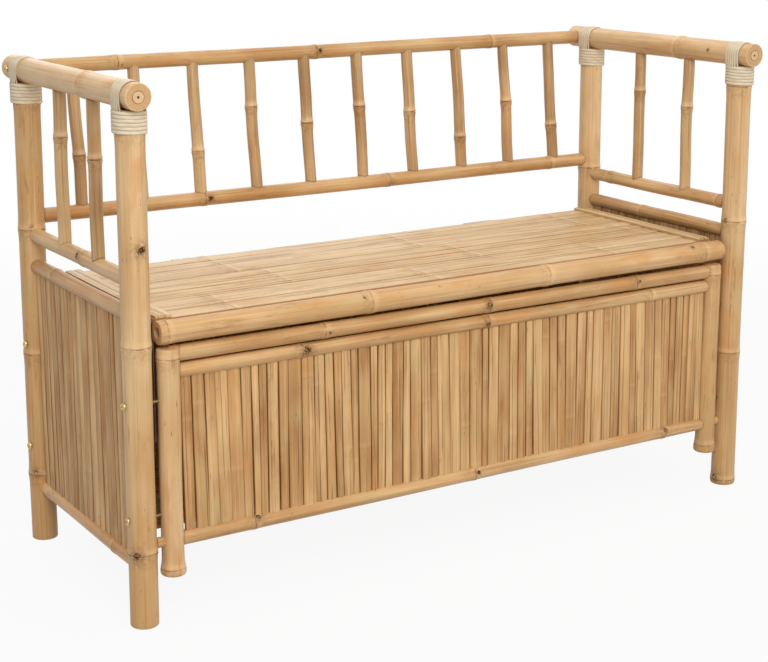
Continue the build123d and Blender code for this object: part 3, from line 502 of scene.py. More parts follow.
def peeled_cane(name, colours):
    """Peeled cane: pale, with soft streaks along the strand and painted shade at its rounded edges."""
    art = Finish(name, IOR=1.45)
    grain = art.attribute("grain")
    across = art.split(art.attribute("across"))[0]
    fine = art.noise(grain, (1100, 1100, 14), 4.0, 0.6)
    broad = art.noise(grain, (260, 260, 5), 2.0)
    base = art.blend(art.ramp(broad, 0.35, 0.75) * 0.7, colours.cane, colours.cane_shade)
    base = art.blend(art.ramp(fine, 0.55, 0.8) * 0.5, base, colours.cane_shade)
    # Painted shade at the strand's rounded edges, where it meets its neighbours
    base = art.blend(art.ramp(abs(across), 0.60, 1.0) * 0.75, base, darker(colours.cane_shade, 0.45))
    return art.dress(base, fine * 0.2 + 0.5, fine * (0.3 * MM))


def plated_steel(name, shade, scratch):
    """Plated steel with soft mottling and fine scratches."""
    art = Finish(name, Metallic=0.9)
    place = art.place()
    mottle = art.noise(place, (90, 90, 90), 4.0)
    line = art.noise(place, scratch, 3.0)
    base = art.blend(art.ramp(mottle, 0.3, 0.7), shade, darker(shade, 0.7))
    shank = art.split(art.attribute("across"))[1]
    base = art.blend(shank, base, darker(shade, 0.4))
    return art.dress(base, mottle * 0.2 + line * 0.15 + 0.2, line * (0.05 * MM))


def bud_bark(name, colours):
    """Dry bark of a branch bud, dark at its hollow middle."""
    art = Finish(name, IOR=1.45, Specular_IOR_Level=0.15)
    place = art.place()
    fine = art.noise(place, (900, 900, 900), 3.0)
    rough = art.noise(place, (380, 380, 380), 3.0)
    depth = art.split(art.attribute("across"))[0]
    rim = tuple(0.3 * a + 0.7 * b for a, b in zip(colours.node_scar, colours.pole_deep))
    inside = art.ramp(depth + (rough - 0.5) * 1.9, 1.0, 0.30)
    base = art.blend(inside, rim, darker(colours.node_scar, 0.45))
    return art.dress(base, fine * 0.2 + 0.6, rough * (1.2 * MM) + fine * (0.3 * MM))


def plug_face(name, colours, arm):
    """The sawn face of an arm plug: rings about the arm's axis and a dark nail hole in the middle."""
    art = Finish(name, IOR=1.45)
    x, _, z = art.split(art.place())
    out, up = abs(x) - arm.x, z - arm.z
    reach = art.math("SQRT", out * out + up * up)
    grain = art.noise(art.place(), (1400, 200, 1400), 3.0)
    rings = art.noise(art.combine(reach, 0.0, 0.0), (900, 1, 1), 2.0)
    base = art.blend(art.ramp(rings, 0.45, 0.7) * 0.5, colours.plug, colours.fibre)
    base = art.blend(art.ramp(grain, 0.55, 0.8) * 0.4, base, colours.fibre)
    base = art.blend(art.ramp(reach, 7.9 * MM, 8.6 * MM) * 0.85, base, darker(colours.fibre, 0.5))
    base = art.blend(art.ramp(reach, 2.2 * MM, 1.4 * MM), base, darker(colours.node_scar, 0.5))
    return art.dress(base, grain * 0.2 + 0.55, grain * (0.2 * MM))


class Finishes:
    """Every material of the bench, made once."""

    def __init__(self, chosen):
        shades = {key: tuple(getattr(chosen, key)) for key in BenchColours.__annotations__}
        colours = SimpleNamespace(**shades)
        self.pole = bamboo("pole_skin", colours.pole_pale, colours.pole_deep, colours, ring=0.60,
                           patches=0.5)
        self.rail = bamboo("rail_skin", colours.rail_pale, colours.rail_deep, colours, ring=0.75, halo=0.6,
                           patches=0.5, gloss=0.36, streaks=1.3)
        self.spindle = bamboo("spindle_skin", colours.spindle_pale, colours.spindle_deep, colours, ring=0.8,
                              halo=1.0, patches=0.35, gloss=0.36, streaks=1.7)
        # On the slats, edge sets the painted shade along their edges
        self.slat = bamboo("split_slat", colours.slat_pale, colours.slat_deep, colours, ring=0.12,
                           halo=0.25, cracks=0.60, uneven=0.62, patches=0.42, gloss=0.46, edge=0.85)
        self.seat = bamboo("seat_slat", colours.seat_pale, colours.seat_deep, colours, ring=0.55, halo=0.7,
                           cracks=0.95, uneven=0.65, patches=0.45, gloss=0.42, edge=0.75, streaks=0.5)
        self.end = sawn_end("sawn_end", colours)
        self.plug = plug_face("plug_face", colours, middle("arm_rail_right"))
        self.batten = sawn_wood("batten_wood", colours, (500, 12, 500))
        self.long_batten = sawn_wood("long_batten_wood", colours, (12, 500, 500))
        self.cane = peeled_cane("peeled_cane", colours)
        self.hinge = plated_steel("hinge_steel", colours.hinge, (40, 1500, 1500))
        self.screw = plated_steel("screw_steel", colours.screw, (900, 900, 900))
        self.bud = bud_bark("bud_bark", colours)


# Culms


@dataclass
class Culm:
    """A bamboo pole in metres: its axis, its thickness and how it grew."""

    start: Vector
    end: Vector
    diameter: float
    first_node: float
    internode: float
    seed: int
    rise: float
    bow: float = 0.5 * MM
    kink: float = 0.0
    flare: float = 0.0
    taper: float = 0.0
    hollow: float = 0.0
    hollow_depth: float = 30 * MM
    rounding: float = 1.5 * MM
    margin: float = 24 * MM
    sides: int = 32
    age: float = 0.0
    # Painted shade that deepens towards the culm's start, the foot of a leg
    butt: float = 0.0
    buds: tuple = ()
    hosts: tuple = ()


@dataclass
class Host:
    """A pole that another one runs into: a point on its axis, its direction and its radius."""

    at: Vector
    along: Vector
    radius: float

    def distance(self, points):
        """How far points lie outside the host's surface."""
        offset = points - np.array(self.at)
        axis = np.array(self.along)
        return np.linalg.norm(offset - np.outer(offset @ axis, axis), axis=1) - self.radius


class Growth:
    """Culms gathered into one mesh, with their grain and the distance from their nodes."""

    STEP = 7 * MM
    FLARE_REACH = 14 * MM
    HOLE_EDGE = 0.5 * MM
    ABOUT_A_TURN = 6.28
    GRAIN_SHIFT = 1.7
    SMUDGE = 1.5
    # Rings crowd where a culm meets its hosts; JOINT_LINE is the width of the painted shadow there
    JOINT_STEP = 0.7 * MM
    JOINT_REACH = 6 * MM
    JOINT_LINE = 1.2 * MM
    NEAR_NODE = np.array([0, 0.5, 1, 1.6, 2.3, 3.2, 4.4, 6, 8, 11, 15]) * MM

    def __init__(self):
        self.points, self.grain, self.growth, self.stain_and_shade = [], [], [], []
        self.faces, self.sawn = [], []

    @staticmethod
    def node_shape(d, diameter):
        """The rise of a node along the culm: a soft swell, the sheath's ridge, a groove and a lip."""
        wide = 4.5 + 0.14 * diameter / MM
        d = d / MM
        swell = 0.70 * np.exp(-((d / wide) ** 2))
        ridge = 0.42 * np.exp(-(((d + 1.5) / 0.9) ** 2))
        groove = -0.55 * np.exp(-(((d - 0.3) / 0.7) ** 2))
        lip = 0.30 * np.exp(-(((d - 2.8) / 1.5) ** 2))
        return swell + ridge + groove + lip

    def add(self, culm):
        """One more culm; its chances are drawn in the order bends, section, tone."""
        chance = random.Random(culm.seed)
        axis = culm.end - culm.start
        size = axis.length
        across, aside, along = (np.array(v) for v in axis.to_track_quat("Z", "Y").to_matrix().transposed())
        origin = np.array(culm.start)
        nodes = self.nodes(culm, size)
        spots = self.spots(culm, size, nodes, origin, along)
        offsets = self.bends(culm, size, nodes, spots, chance)
        cosine, sine, lobes = self.section(culm, chance)
        tone = chance.random()

        rings = list(zip(spots, self.radii(culm, size, nodes, spots), *offsets))
        hole, edge = culm.hollow / 2, self.HOLE_EDGE
        inner = []
        if hole:
            inner = [(culm.hollow_depth, hole, 0, 0), (edge, hole, 0, 0), (0, hole + edge, 0, 0)]
            rings = inner + rings + [(size - s, r, x, y) for s, r, x, y in reversed(inner)]
        last = len(rings) - 1
        first = sum(len(p) for p in self.points)
        grain_start = culm.seed * self.GRAIN_SHIFT
        for k, (s, r, x, y) in enumerate(rings):
            local = np.outer(r * lobes * cosine + x, across) + np.outer(r * lobes * sine + y, aside)
            self.points.append(origin + along * s + local)
            self.grain.append(np.stack([r * cosine, r * sine, np.full(culm.sides, s + grain_start)], 1))
            # The tone takes the culm's age and the painted shade towards its foot
            tone_age_and_shade = tone + culm.age + culm.butt * (1 - s / size) ** 2
            self.growth.append(np.tile([s - culm.first_node, culm.internode, tone_age_and_shade], (culm.sides, 1)))
            self.stain_and_shade.append(self.stained_and_shaded(culm, self.points[-1]))
            # The third part is painted shade inside a hollow: full at its bottom, fading up the wall
            self.stain_and_shade[-1][:, 2] = float(hole > 0 and k in (0, last))
        for k in range(last):
            sawn = k < len(inner) or k >= last - len(inner)
            a = first + k * culm.sides
            for j, i in self.around(culm):
                self.faces.append((a + j, a + i, a + culm.sides + i, a + culm.sides + j))
                self.sawn.append(sawn)
        for k in (0, last):
            s = rings[k][0]
            self.points.append((origin + along * s)[None])
            self.grain.append(np.array([[0, 0, s + grain_start]]))
            self.growth.append(np.array([[s - culm.first_node, culm.internode, tone]]))
            # The bottom of a hollow lies fully in painted shade
            self.stain_and_shade.append(np.array([[0.0, 0.0, float(hole > 0)]]))
            a = first + k * culm.sides
            centre = first + len(rings) * culm.sides + int(k == last)
            for j, i in self.around(culm):
                self.faces.append((a + j, a + i, centre) if k == last else (a + i, a + j, centre))
                self.sawn.append(True)
        return self

    @staticmethod
    def around(culm):
        """Each side of a ring with the next one."""
        return [(j, (j + 1) % culm.sides) for j in range(culm.sides)]

    @staticmethod
    def nodes(culm, size):
        """The distances of the nodes along the culm, clear of its ends."""
        count = int(size / culm.internode) + 1
        places = [culm.first_node + i * culm.internode for i in range(-count, count + 1)]
        return np.array([n for n in places if culm.margin < n < size - culm.margin])

    def spots(self, culm, size, nodes, origin, along):
        """Where the rings lie: closer together at the ends, the nodes, the buds and the joints."""
        turn_in = culm.rounding * np.array([0, 0.1, 0.25, 0.5, 1])
        spots = [np.arange(0, size, self.STEP), turn_in, size - turn_in]
        spots += [n + sign * self.NEAR_NODE for n in nodes for sign in (-1, 1)]
        spots += [bud.along + np.linspace(-2, 2, 13) * self.SMUDGE * bud.size[0] for bud in culm.buds]
        steps = np.arange(0, size, self.JOINT_STEP)
        path = origin + np.outer(steps, along)
        for host in culm.hosts:
            spots.append(steps[np.abs(host.distance(path)) < self.JOINT_REACH])
        return np.unique(np.clip(np.concatenate(spots), 0, size).round(5))

    def radii(self, culm, size, nodes, spots):
        """The culm's radius at each ring: taper, flared foot, nodes and rounded ends."""
        radius = culm.diameter / 2 * (1 + culm.taper * (0.5 - spots / size))
        radius += culm.flare * np.exp(-((spots / self.FLARE_REACH) ** 2))
        for n in nodes:
            radius += culm.rise * self.node_shape(spots - n, culm.diameter)
        for tip in (spots, size - spots):
            inside = np.clip(1 - tip / culm.rounding, 0, 1)
            radius -= culm.rounding * (1 - np.sqrt(1 - inside**2))
        return radius

    def bends(self, culm, size, nodes, spots, chance):
        """How far each ring lies off the axis: a soft bow, and a kink at every node."""
        turn = self.ABOUT_A_TURN
        waves = [(chance.uniform(0.6, 1.4), chance.uniform(0, turn)) for _ in range(2)]
        fade = np.sin(np.pi * spots / size)
        offsets = [culm.bow * fade * np.sin(turn * f * spots / size + phase) for f, phase in waves]
        if len(nodes) and culm.kink:
            bearing = chance.uniform(0, turn)
            marks = np.concatenate([[0], nodes, [size]])
            zigzag = np.array([0] + [culm.kink * (-1) ** i for i in range(len(nodes))] + [0])
            shift = np.interp(spots, marks, zigzag)
            offsets = [offsets[0] + shift * math.cos(bearing), offsets[1] + shift * math.sin(bearing)]
        return offsets

    def section(self, culm, chance):
        """The directions of a ring's points, and how far it is out of round at each."""
        theta = np.linspace(0, 2 * np.pi, culm.sides, endpoint=False)
        phases = chance.uniform(0, self.ABOUT_A_TURN), chance.uniform(0, self.ABOUT_A_TURN)
        lobes = 0.986 + 0.010 * np.cos(2 * theta + phases[0]) + 0.004 * np.cos(3 * theta + phases[1])
        return np.cos(theta), np.sin(theta), lobes

    def stained_and_shaded(self, culm, points):
        """How strongly the bark about each bud darkens these points, and the painted shadow where the culm
        meets each host.
        """
        shade = np.zeros((len(points), 3))
        for bud in culm.buds:
            gap = np.linalg.norm(points - np.array(bud.at), axis=1)
            shade[:, 0] += np.exp(-((gap / (self.SMUDGE * bud.size[0])) ** 2))
        for host in culm.hosts:
            shade[:, 1] += np.exp(-((host.distance(points) / self.JOINT_LINE) ** 2))
        return np.minimum(shade, 1.0)

    def piece(self, name, skin, end):
        points = np.concatenate(self.points)
        mesh = bpy.data.meshes.new(name)
        mesh.from_pydata(points.tolist(), [], self.faces)
        for key, values in (("grain", self.grain), ("growth", self.growth), ("stain_and_shade", self.stain_and_shade)):
            vector_layer(mesh, key, np.concatenate(values))
        sawn = np.array(self.sawn)
        mesh.materials.append(skin)
        mesh.materials.append(end)
        mesh.polygons.foreach_set("material_index", sawn.astype(np.int32))
        mesh.polygons.foreach_set("use_smooth", ~sawn)
        mesh.update()
        mesh.validate()
        return link_object(name, mesh)


# One node's distance from the start of its pole and the distance between nodes, in millimetres
NODES = {
    "leg_front_left": (112, 308), "leg_front_right": (246, 238), "leg_rear_left": (112, 205),
    "leg_rear_right": (235, 290), "arm_rail_left": (178, 250), "arm_rail_right": (182, 252),
    "front_stile_left": (10, 318), "front_stile_right": (13, 312), "rear_stile_left": (38, 225),
    "rear_stile_right": (82, 225), "lid_front_pole": (351, 340), "arm_lower_rail_left": (170, 230),
    "arm_lower_rail_right": (325, 300), "side_top_rail_left": (290, 290), "side_top_rail_right": (228, 280),
    "side_bottom_rail_left": (81, 265), "side_bottom_rail_right": (201, 265), "front_upper_rail": (255, 305),
    "front_second_rail": (212, 342), "front_bottom_rail": (132, 404), "rear_bottom_rail": (160, 265),
    "hinge_rail": (126, 265), "back_top_rail": (149, 375), "back_lower_rail": (296, 367),
}
AXES = {"x": 0, "y": 1, "z": 2}
FIRST_SEED = 11
SLOPING_RAILS = ("front_upper_rail", "front_second_rail")


@dataclass
class Bud:
    """A branch bud on a pole: where it is, which way it faces and its half sizes."""

    along: float
    at: Vector
    facing: Vector
    size: tuple


# Buds by pole: distance along it, bearing about it in degrees from its front, and size, in millimetres
BUDS = {
    "leg_front_left": ((563, 8, 8.0), (114, -45, 8.0)),
    "leg_front_right": ((487, -84, 5.0), (14, -84, 7.0)),
    "leg_rear_left": ((118, -50, 6.0), (528, -20, 3.0)),
    "arm_rail_right": ((95, 10, 3.0),),
    "arm_lower_rail_left": ((177, 25, 6.0),),
    "front_upper_rail": ((558, 15, 7.0), (262, -10, 3.0), (870, 20, 4.5)),
    "front_second_rail": ((219, 10, 8.5), (552, -10, 5.5)),
    "front_bottom_rail": ((138, 50, 6.0), (541, 20, 4.5), (942, 30, 6.0)),
    "back_top_rail": ((529, 10, 6.0), (155, -15, 3.0)),
    "back_lower_rail": ((304, 10, 6.5), (668, -15, 5.0)),
    "lid_front_pole": ((338, 40, 2.5), (1005, 55, 3.5)),
}


def buds_on(node, culm):
    """The buds of one culm; bearings of upright ones turn towards +X, of lying ones towards +Z."""
    axis = (culm.end - culm.start).normalized()
    front = Vector((0, -1, 0)) if abs(axis.y) < 0.5 else Vector((-1, 0, 0))
    other = Vector((1, 0, 0)) if abs(axis.z) > 0.5 else Vector((0, 0, 1))
    made = []
    for along, bearing, size in BUDS.get(node, ()):
        turn = math.radians(bearing)
        facing = front * math.cos(turn) + other * math.sin(turn)
        at = culm.start + axis * along * MM + facing * (culm.diameter / 2)
        made.append(Bud(along * MM, at, facing, (size * MM, 0.85 * size * MM, 0.35 * size * MM)))
    return tuple(made)


def thickness(node, axis, sizes):
    """A pole's diameter between its nodes, from its box across its axis."""
    low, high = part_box(node)
    return min((high - low)[k] for name, k in AXES.items() if name != axis) - 2 * sizes.node_rise


def hosts(sizes, axis, *nodes):
    """The poles that carry another one's ends; all lie along the same axis."""
    direction = Vector((0, 0, 0))
    direction[AXES[axis]] = 1
    return tuple(Host(middle(node), direction, thickness(node, axis, sizes) / 2) for node in nodes)


def pole(node, axis, sizes, **grown):
    """The culm that stands for one straight node, whose box gives its axis and thickness."""
    low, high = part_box(node)
    k = AXES[axis]
    start, end = middle(node), middle(node)
    start[k], end[k] = low[k], high[k]
    seed = sorted(NODES).index(node) + FIRST_SEED
    first_node, internode = (distance * MM for distance in NODES[node])
    diameter = thickness(node, axis, sizes)
    culm = Culm(start, end, diameter, first_node, internode, seed, sizes.node_rise, **grown)
    culm.buds = buds_on(node, culm)
    return culm


def sloping_rail(node, sizes, **grown):
    """A rail that falls from the left to the right within its box."""
    culm = pole(node, "x", sizes, **grown)
    low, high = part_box(node)
    half = culm.diameter / 2 + sizes.node_rise
    culm.start.z, culm.end.z = high.z - half, low.z + half
    culm.buds = buds_on(node, culm)
    return culm


def bottom_rail(row, sizes, **grown):
    """A bottom rail between the middles of its stiles, without its tenons."""
    node = f"{row}_bottom_rail"
    culm = pole(node, "x", sizes, **grown)
    stile = middle(f"{row}_stile_right").x
    culm.start.x, culm.end.x = -stile, stile
    culm.buds = buds_on(node, culm)
    return culm


class BENCH_OT_poles(bpy.types.Operator):
    """Grow the legs, the arms, the stiles and the seat's front pole"""

    bl_idname = "bench.poles"
    bl_label = "Poles"

    LEG_AGE = {"left": 0.3, "right": -0.3}
    STILE_AGE = {"left": 0.0, "right": 0.5}
    ARM_AGE = -0.4
    SEAT_POLE_AGE = 0.8
    FULLER_NODE = 1.5
    SEAT_POLE_NODE = 1.4
    LEG_BITE = 0.5 * MM
    NEAR_END = 6 * MM

    def execute(self, context):
        sizes, finishes = context.scene.bench_sizes, Finishes.ready
        leg_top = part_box("arm_rail_left")[0].z + sizes.node_rise + self.LEG_BITE
        for leg in LEGS:
            age = self.LEG_AGE[leg.split("_")[-1]]
            # Legs darken towards their feet: painted shade for the light that falls off near the floor
            culm = pole(leg, "z", sizes, hollow=sizes.leg_hollow, bow=0.7 * MM, kink=0.6 * MM,
                        margin=self.NEAR_END, sides=48, butt=1.4, age=age)
            culm.end.z = leg_top
            culm.rise = self.FULLER_NODE * sizes.node_rise
            self.grow(leg, culm, finishes)
        for side in SIDES:
            node = f"arm_rail_{side}"
            culm = pole(node, "y", sizes, hollow=sizes.arm_hollow, hollow_depth=14 * MM, bow=0.2 * MM,
                        sides=48, age=self.ARM_AGE)
            culm.rise = self.FULLER_NODE * sizes.node_rise
            self.grow(node, culm, finishes)
            for row in ROWS:
                node = f"{row}_stile_{side}"
                culm = pole(node, "z", sizes, flare=sizes.stile_flare, rounding=4 * MM,
                            margin=self.NEAR_END, age=self.STILE_AGE[side])
                self.grow(node, culm, finishes)
        culm = pole("lid_front_pole", "x", sizes, hollow=sizes.lid_hollow, hollow_depth=20 * MM,
                    margin=self.NEAR_END, sides=40, age=self.SEAT_POLE_AGE)
        culm.rise = self.SEAT_POLE_NODE * sizes.node_rise
        self.grow("lid_front_pole", culm, finishes, "lid")
        return {"FINISHED"}

    @staticmethod
    def grow(node, culm, finishes, body="frame"):
        piece = Growth().add(culm).piece(f"{node}_culm", finishes.pole, finishes.end)
        settle(piece, body, "bamboo_pole", node)


class BENCH_OT_rails(bpy.types.Operator):
    """Grow the rails of the sides, the box and the back, and the bearers under the floor"""

    bl_idname = "bench.rails"
    bl_label = "Rails"

    LONG_RAIL_AGE = 0.4
    TENON_SEED = 3
    BEARERS = 3
    BEARER_SEED = 60
    BEARER_NODE = 170 * MM

    def execute(self, context):
        sizes, finishes = context.scene.bench_sizes, Finishes.ready
        for side in SIDES:
            for rail in ("arm_lower_rail", "side_top_rail", "side_bottom_rail"):
                node = f"{rail}_{side}"
                legs = hosts(sizes, "z", f"leg_front_{side}", f"leg_rear_{side}")
                self.keep(node, Growth().add(pole(node, "y", sizes, hosts=legs)), finishes)
        arms = hosts(sizes, "y", "arm_rail_left", "arm_rail_right")
        legs = hosts(sizes, "z", "leg_rear_left", "leg_rear_right")
        for node, ends in (("back_top_rail", arms), ("back_lower_rail", legs)):
            culm = pole(node, "x", sizes, kink=0.6 * MM, hosts=ends, age=self.LONG_RAIL_AGE)
            self.keep(node, Growth().add(culm), finishes)
        stiles = {row: hosts(sizes, "z", f"{row}_stile_left", f"{row}_stile_right") for row in ROWS}
        for node in SLOPING_RAILS:
            culm = sloping_rail(node, sizes, bow=0.2 * MM, hosts=stiles["front"], age=self.LONG_RAIL_AGE)
            self.keep(node, Growth().add(culm), finishes)
        for row in ROWS:
            node = f"{row}_bottom_rail"
            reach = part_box(node)[1].x
            culm = bottom_rail(row, sizes, hosts=stiles[row])
            growth = Growth().add(culm)
            for side in SIDES.values():
                inner, outer = culm.start.copy(), culm.start.copy()
                inner.x, outer.x = side * culm.end.x, side * reach
                growth.add(Culm(inner, outer, sizes.tenon, first_node=0.0, internode=1.0,
                                seed=self.TENON_SEED + side, rise=0.0, bow=0.0))
            self.keep(node, growth, finishes)
        self.hinge_rail(sizes, stiles["rear"], finishes)
        self.bearers(sizes, finishes)
        return {"FINISHED"}

    def hinge_rail(self, sizes, stiles, finishes):
        """The rail under the hinges, flat where their leaves lie on it."""
        growth = Growth().add(pole("hinge_rail", "x", sizes, bow=0.0, hosts=stiles))
        for side in SIDES:
            low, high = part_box(f"hinge_box_leaf_{side}")
            for ring in growth.points:
                under = (ring[:, 0] > low.x) & (ring[:, 0] < high.x)
                ring[under, 2] = np.minimum(ring[under, 2], low.z)
        self.keep("hinge_rail", growth, finishes)

    def bearers(self, sizes, finishes):
        low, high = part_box("floor_bearers")
        z = middle("floor_bearers").z
        outermost = high.x - sizes.node_rise - sizes.bearer / 2
        growth = Growth()
        for step in range(self.BEARERS):
            x = (step - 1) * outermost
            growth.add(Culm(Vector((x, low.y, z)), Vector((x, high.y, z)), sizes.bearer, self.BEARER_NODE,
                            sizes.thin_internode, self.BEARER_SEED + step, sizes.node_rise))
        self.keep("floor_bearers", growth, finishes)

    @staticmethod
    def keep(node, growth, finishes):
        settle(growth.piece(f"{node}_culm", finishes.rail, finishes.end), "frame", "bamboo_rail", node)


class BENCH_OT_spindles(bpy.types.Operator):
    """Grow the raked spindles of the back and the spindles under the arms"""

    bl_idname = "bench.spindles"
    bl_label = "Spindles"

    # Heights of the spindles' first nodes above their feet, in millimetres
    BACK_NODES = (85, 136, 75, 143, 108, 130, 113, 59, 118, 66)
    BACK_SEED = 80
    BACK_TAPER = 0.08
    ARM_NODES = (152, 168)
    ARM_SEED = 95
    FULLER_NODE = 1.8

    def execute(self, context):
        sizes, finishes = context.scene.bench_sizes, Finishes.ready
        grown = {"internode": sizes.thin_internode, "rise": self.FULLER_NODE * sizes.node_rise,
                 "bow": 0.8 * MM, "sides": 24, "age": 0.3}
        low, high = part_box("back_spindles")
        reach = sizes.back_spindle / 2 + sizes.node_rise
        growth = Growth()
        rails = hosts(sizes, "x", "back_lower_rail", "back_top_rail")
        for step, height in enumerate(self.BACK_NODES):
            share = step / (len(self.BACK_NODES) - 1)
            x = (low.x + reach) * (1 - share) + (high.x - reach) * share
            foot, top = Vector((x, low.y + reach, low.z)), Vector((x, high.y - reach, high.z))
            growth.add(Culm(foot, top, sizes.back_spindle, height * MM, seed=self.BACK_SEED + step,
                            kink=1.3 * MM, taper=self.BACK_TAPER * math.sin(step), hosts=rails, **grown))
        self.keep("back_spindles", growth, finishes)
        reach = sizes.arm_spindle / 2 + sizes.node_rise
        for name, side in SIDES.items():
            node = f"arm_spindles_{name}"
            low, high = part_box(node)
            x = middle(node).x
            rails = hosts(sizes, "y", f"arm_rail_{name}", f"arm_lower_rail_{name}")
            growth = Growth()
            for step, y in enumerate((low.y + reach, high.y - reach)):
                growth.add(Culm(Vector((x, y, low.z)), Vector((x, y, high.z)), sizes.arm_spindle,
                                self.ARM_NODES[step] * MM, seed=self.ARM_SEED + 2 * step + side,
                                kink=1.0 * MM, hosts=rails, **grown))
            self.keep(node, growth, finishes)
        return {"FINISHED"}

    @staticmethod
    def keep(node, growth, finishes):
        piece = growth.piece(f"{node}_culms", finishes.spindle, finishes.end)
        settle(piece, "frame", "bamboo_spindle", node)


# Split slats


def slat_recipe():
    """A row of unequal split slats along X, standing on Z, with their rounded faces towards -Y."""
    make = Recipe("Split slats", count=int, width=float, spread=float, step=float, phase=float, gap=float,
                  thickness=float, crown=float, foot=float, head=float, head_slope=float, rows=int,
                  internode=float, bundle=int, lift=float, lean=float, rake=float, wedge=float, warp=float,
                  seed=int, material="material")
    index = make.number(make.node("GeometryNodeInputIndex"))
    share = 1 + make["spread"] * make.math("SINE", make["step"] * index * index + make["phase"])
    total = make.node("GeometryNodeAccumulateField", {"data_type": "FLOAT", "domain": "POINT"},
                      {"Value": share})
    scale = make["width"] / make.number(total, "Total")
    centre = (make.number(total, "Trailing") + share * 0.5) * scale - make["width"] * 0.5
    head = make["head"] + make["head_slope"] * centre
    chance = make.node("FunctionNodeRandomValue", {"data_type": "FLOAT_VECTOR"},
                       {"ID": index, "Seed": make["seed"]})
    shift = make.split(make.out(chance))
    culm = make.math("FLOOR", index / make["bundle"])
    shared = make.node("FunctionNodeRandomValue", {"data_type": "FLOAT"},
                       {"ID": culm, "Seed": make["seed"]})

    points = make.shape("GeometryNodePoints", None, None, {"Count": make["count"]})
    points = make.store(points, "chance", make.combine(make.number(shared), shift[1], shift[2]))
    size = make.combine(share * scale - make["gap"] * (shift[0] * 1.6 + 0.3), 1.0, head - make["foot"])
    points = make.store(points, "slat_size", size)
    rake = make["rake"] * (1 + make.math("SINE", index * 0.55 + make["phase"]))
    rake = rake + (shift[1] - 0.5) * make["lean"]
    points = make.store(points, "slat_rake", make.combine(rake))
    seat = make.combine(centre, (shift[1] - 0.5) * make["lift"], (head + make["foot"]) * 0.5)
    points = make.move(points, Position=seat)

    sockets = {"Size": make.combine(1.0, make["thickness"], 1.0), "Vertices X": 7, "Vertices Y": 2,
               "Vertices Z": make["rows"]}
    blank = make.shape("GeometryNodeMeshCube", None, None, sockets)
    x, y, _ = make.split(make.position())
    across = x * 2.0
    blank = make.store(blank, "across", make.combine(across))
    rise = (1 - across * across) * make["crown"] * (y < 0.0)
    blank = make.move(blank, Offset=make.combine(0.0, rise * -1.0))

    slats = make.shape("GeometryNodeInstanceOnPoints", points, None,
                       {"Instance": blank, "Scale": make.read("slat_size")})
    slats = make.shape("GeometryNodeRealizeInstances", slats)
    kept = make.read("chance")
    grain = make.vector_math("MULTIPLY_ADD", kept, (7.0, 5.0, 9.0), make.position())
    slats = make.store(slats, "grain", grain)
    along = make.split(make.position())[2]
    start, _, tone = make.split(kept)
    half_way = (make["head"] + make["foot"]) * 0.5
    edge = make.split(make.read("across"))[0]
    tilt = make.split(make.read("slat_rake"))[0]
    sway = (tilt + (start - 0.5) * make["wedge"] * edge) * (along - half_way)
    run = along + start * make["internode"]
    slats = make.store(slats, "growth", make.combine(run, make["internode"], tone))
    wave = make.noise_node(make.vector_math("MULTIPLY", make.read("grain"), (60.0, 20.0, 9.0)), 1.0)
    centred = make.vector_math("SUBTRACT", make.out(wave, "Color"), (0.5, 0.5, 0.5))
    bent = make.vector_math("MULTIPLY_ADD", centred, make.combine(make["warp"], make["warp"]),
                            make.combine(sway))
    slats = make.move(slats, Offset=bent)
    return make.finish(make.forget(slats, "chance", "slat_size", "slat_rake"))


# How unequal the slats of a row are, how straight ones stand, and how those along X are turned
UNEQUAL = {"spread": 0.3, "step": 2.4}
STRAIGHT = {"head_slope": 0.0, "rake": 0.0, "wedge": 0.0}
LYING = ((0, -1, 0), (0, 0, -1), (1, 0, 0))


def turned(x, y, z, at):
    """The placement whose columns are where local X, Y and Z point."""
    return Matrix.Translation(at) @ Matrix((x, y, z)).transposed().to_4x4()


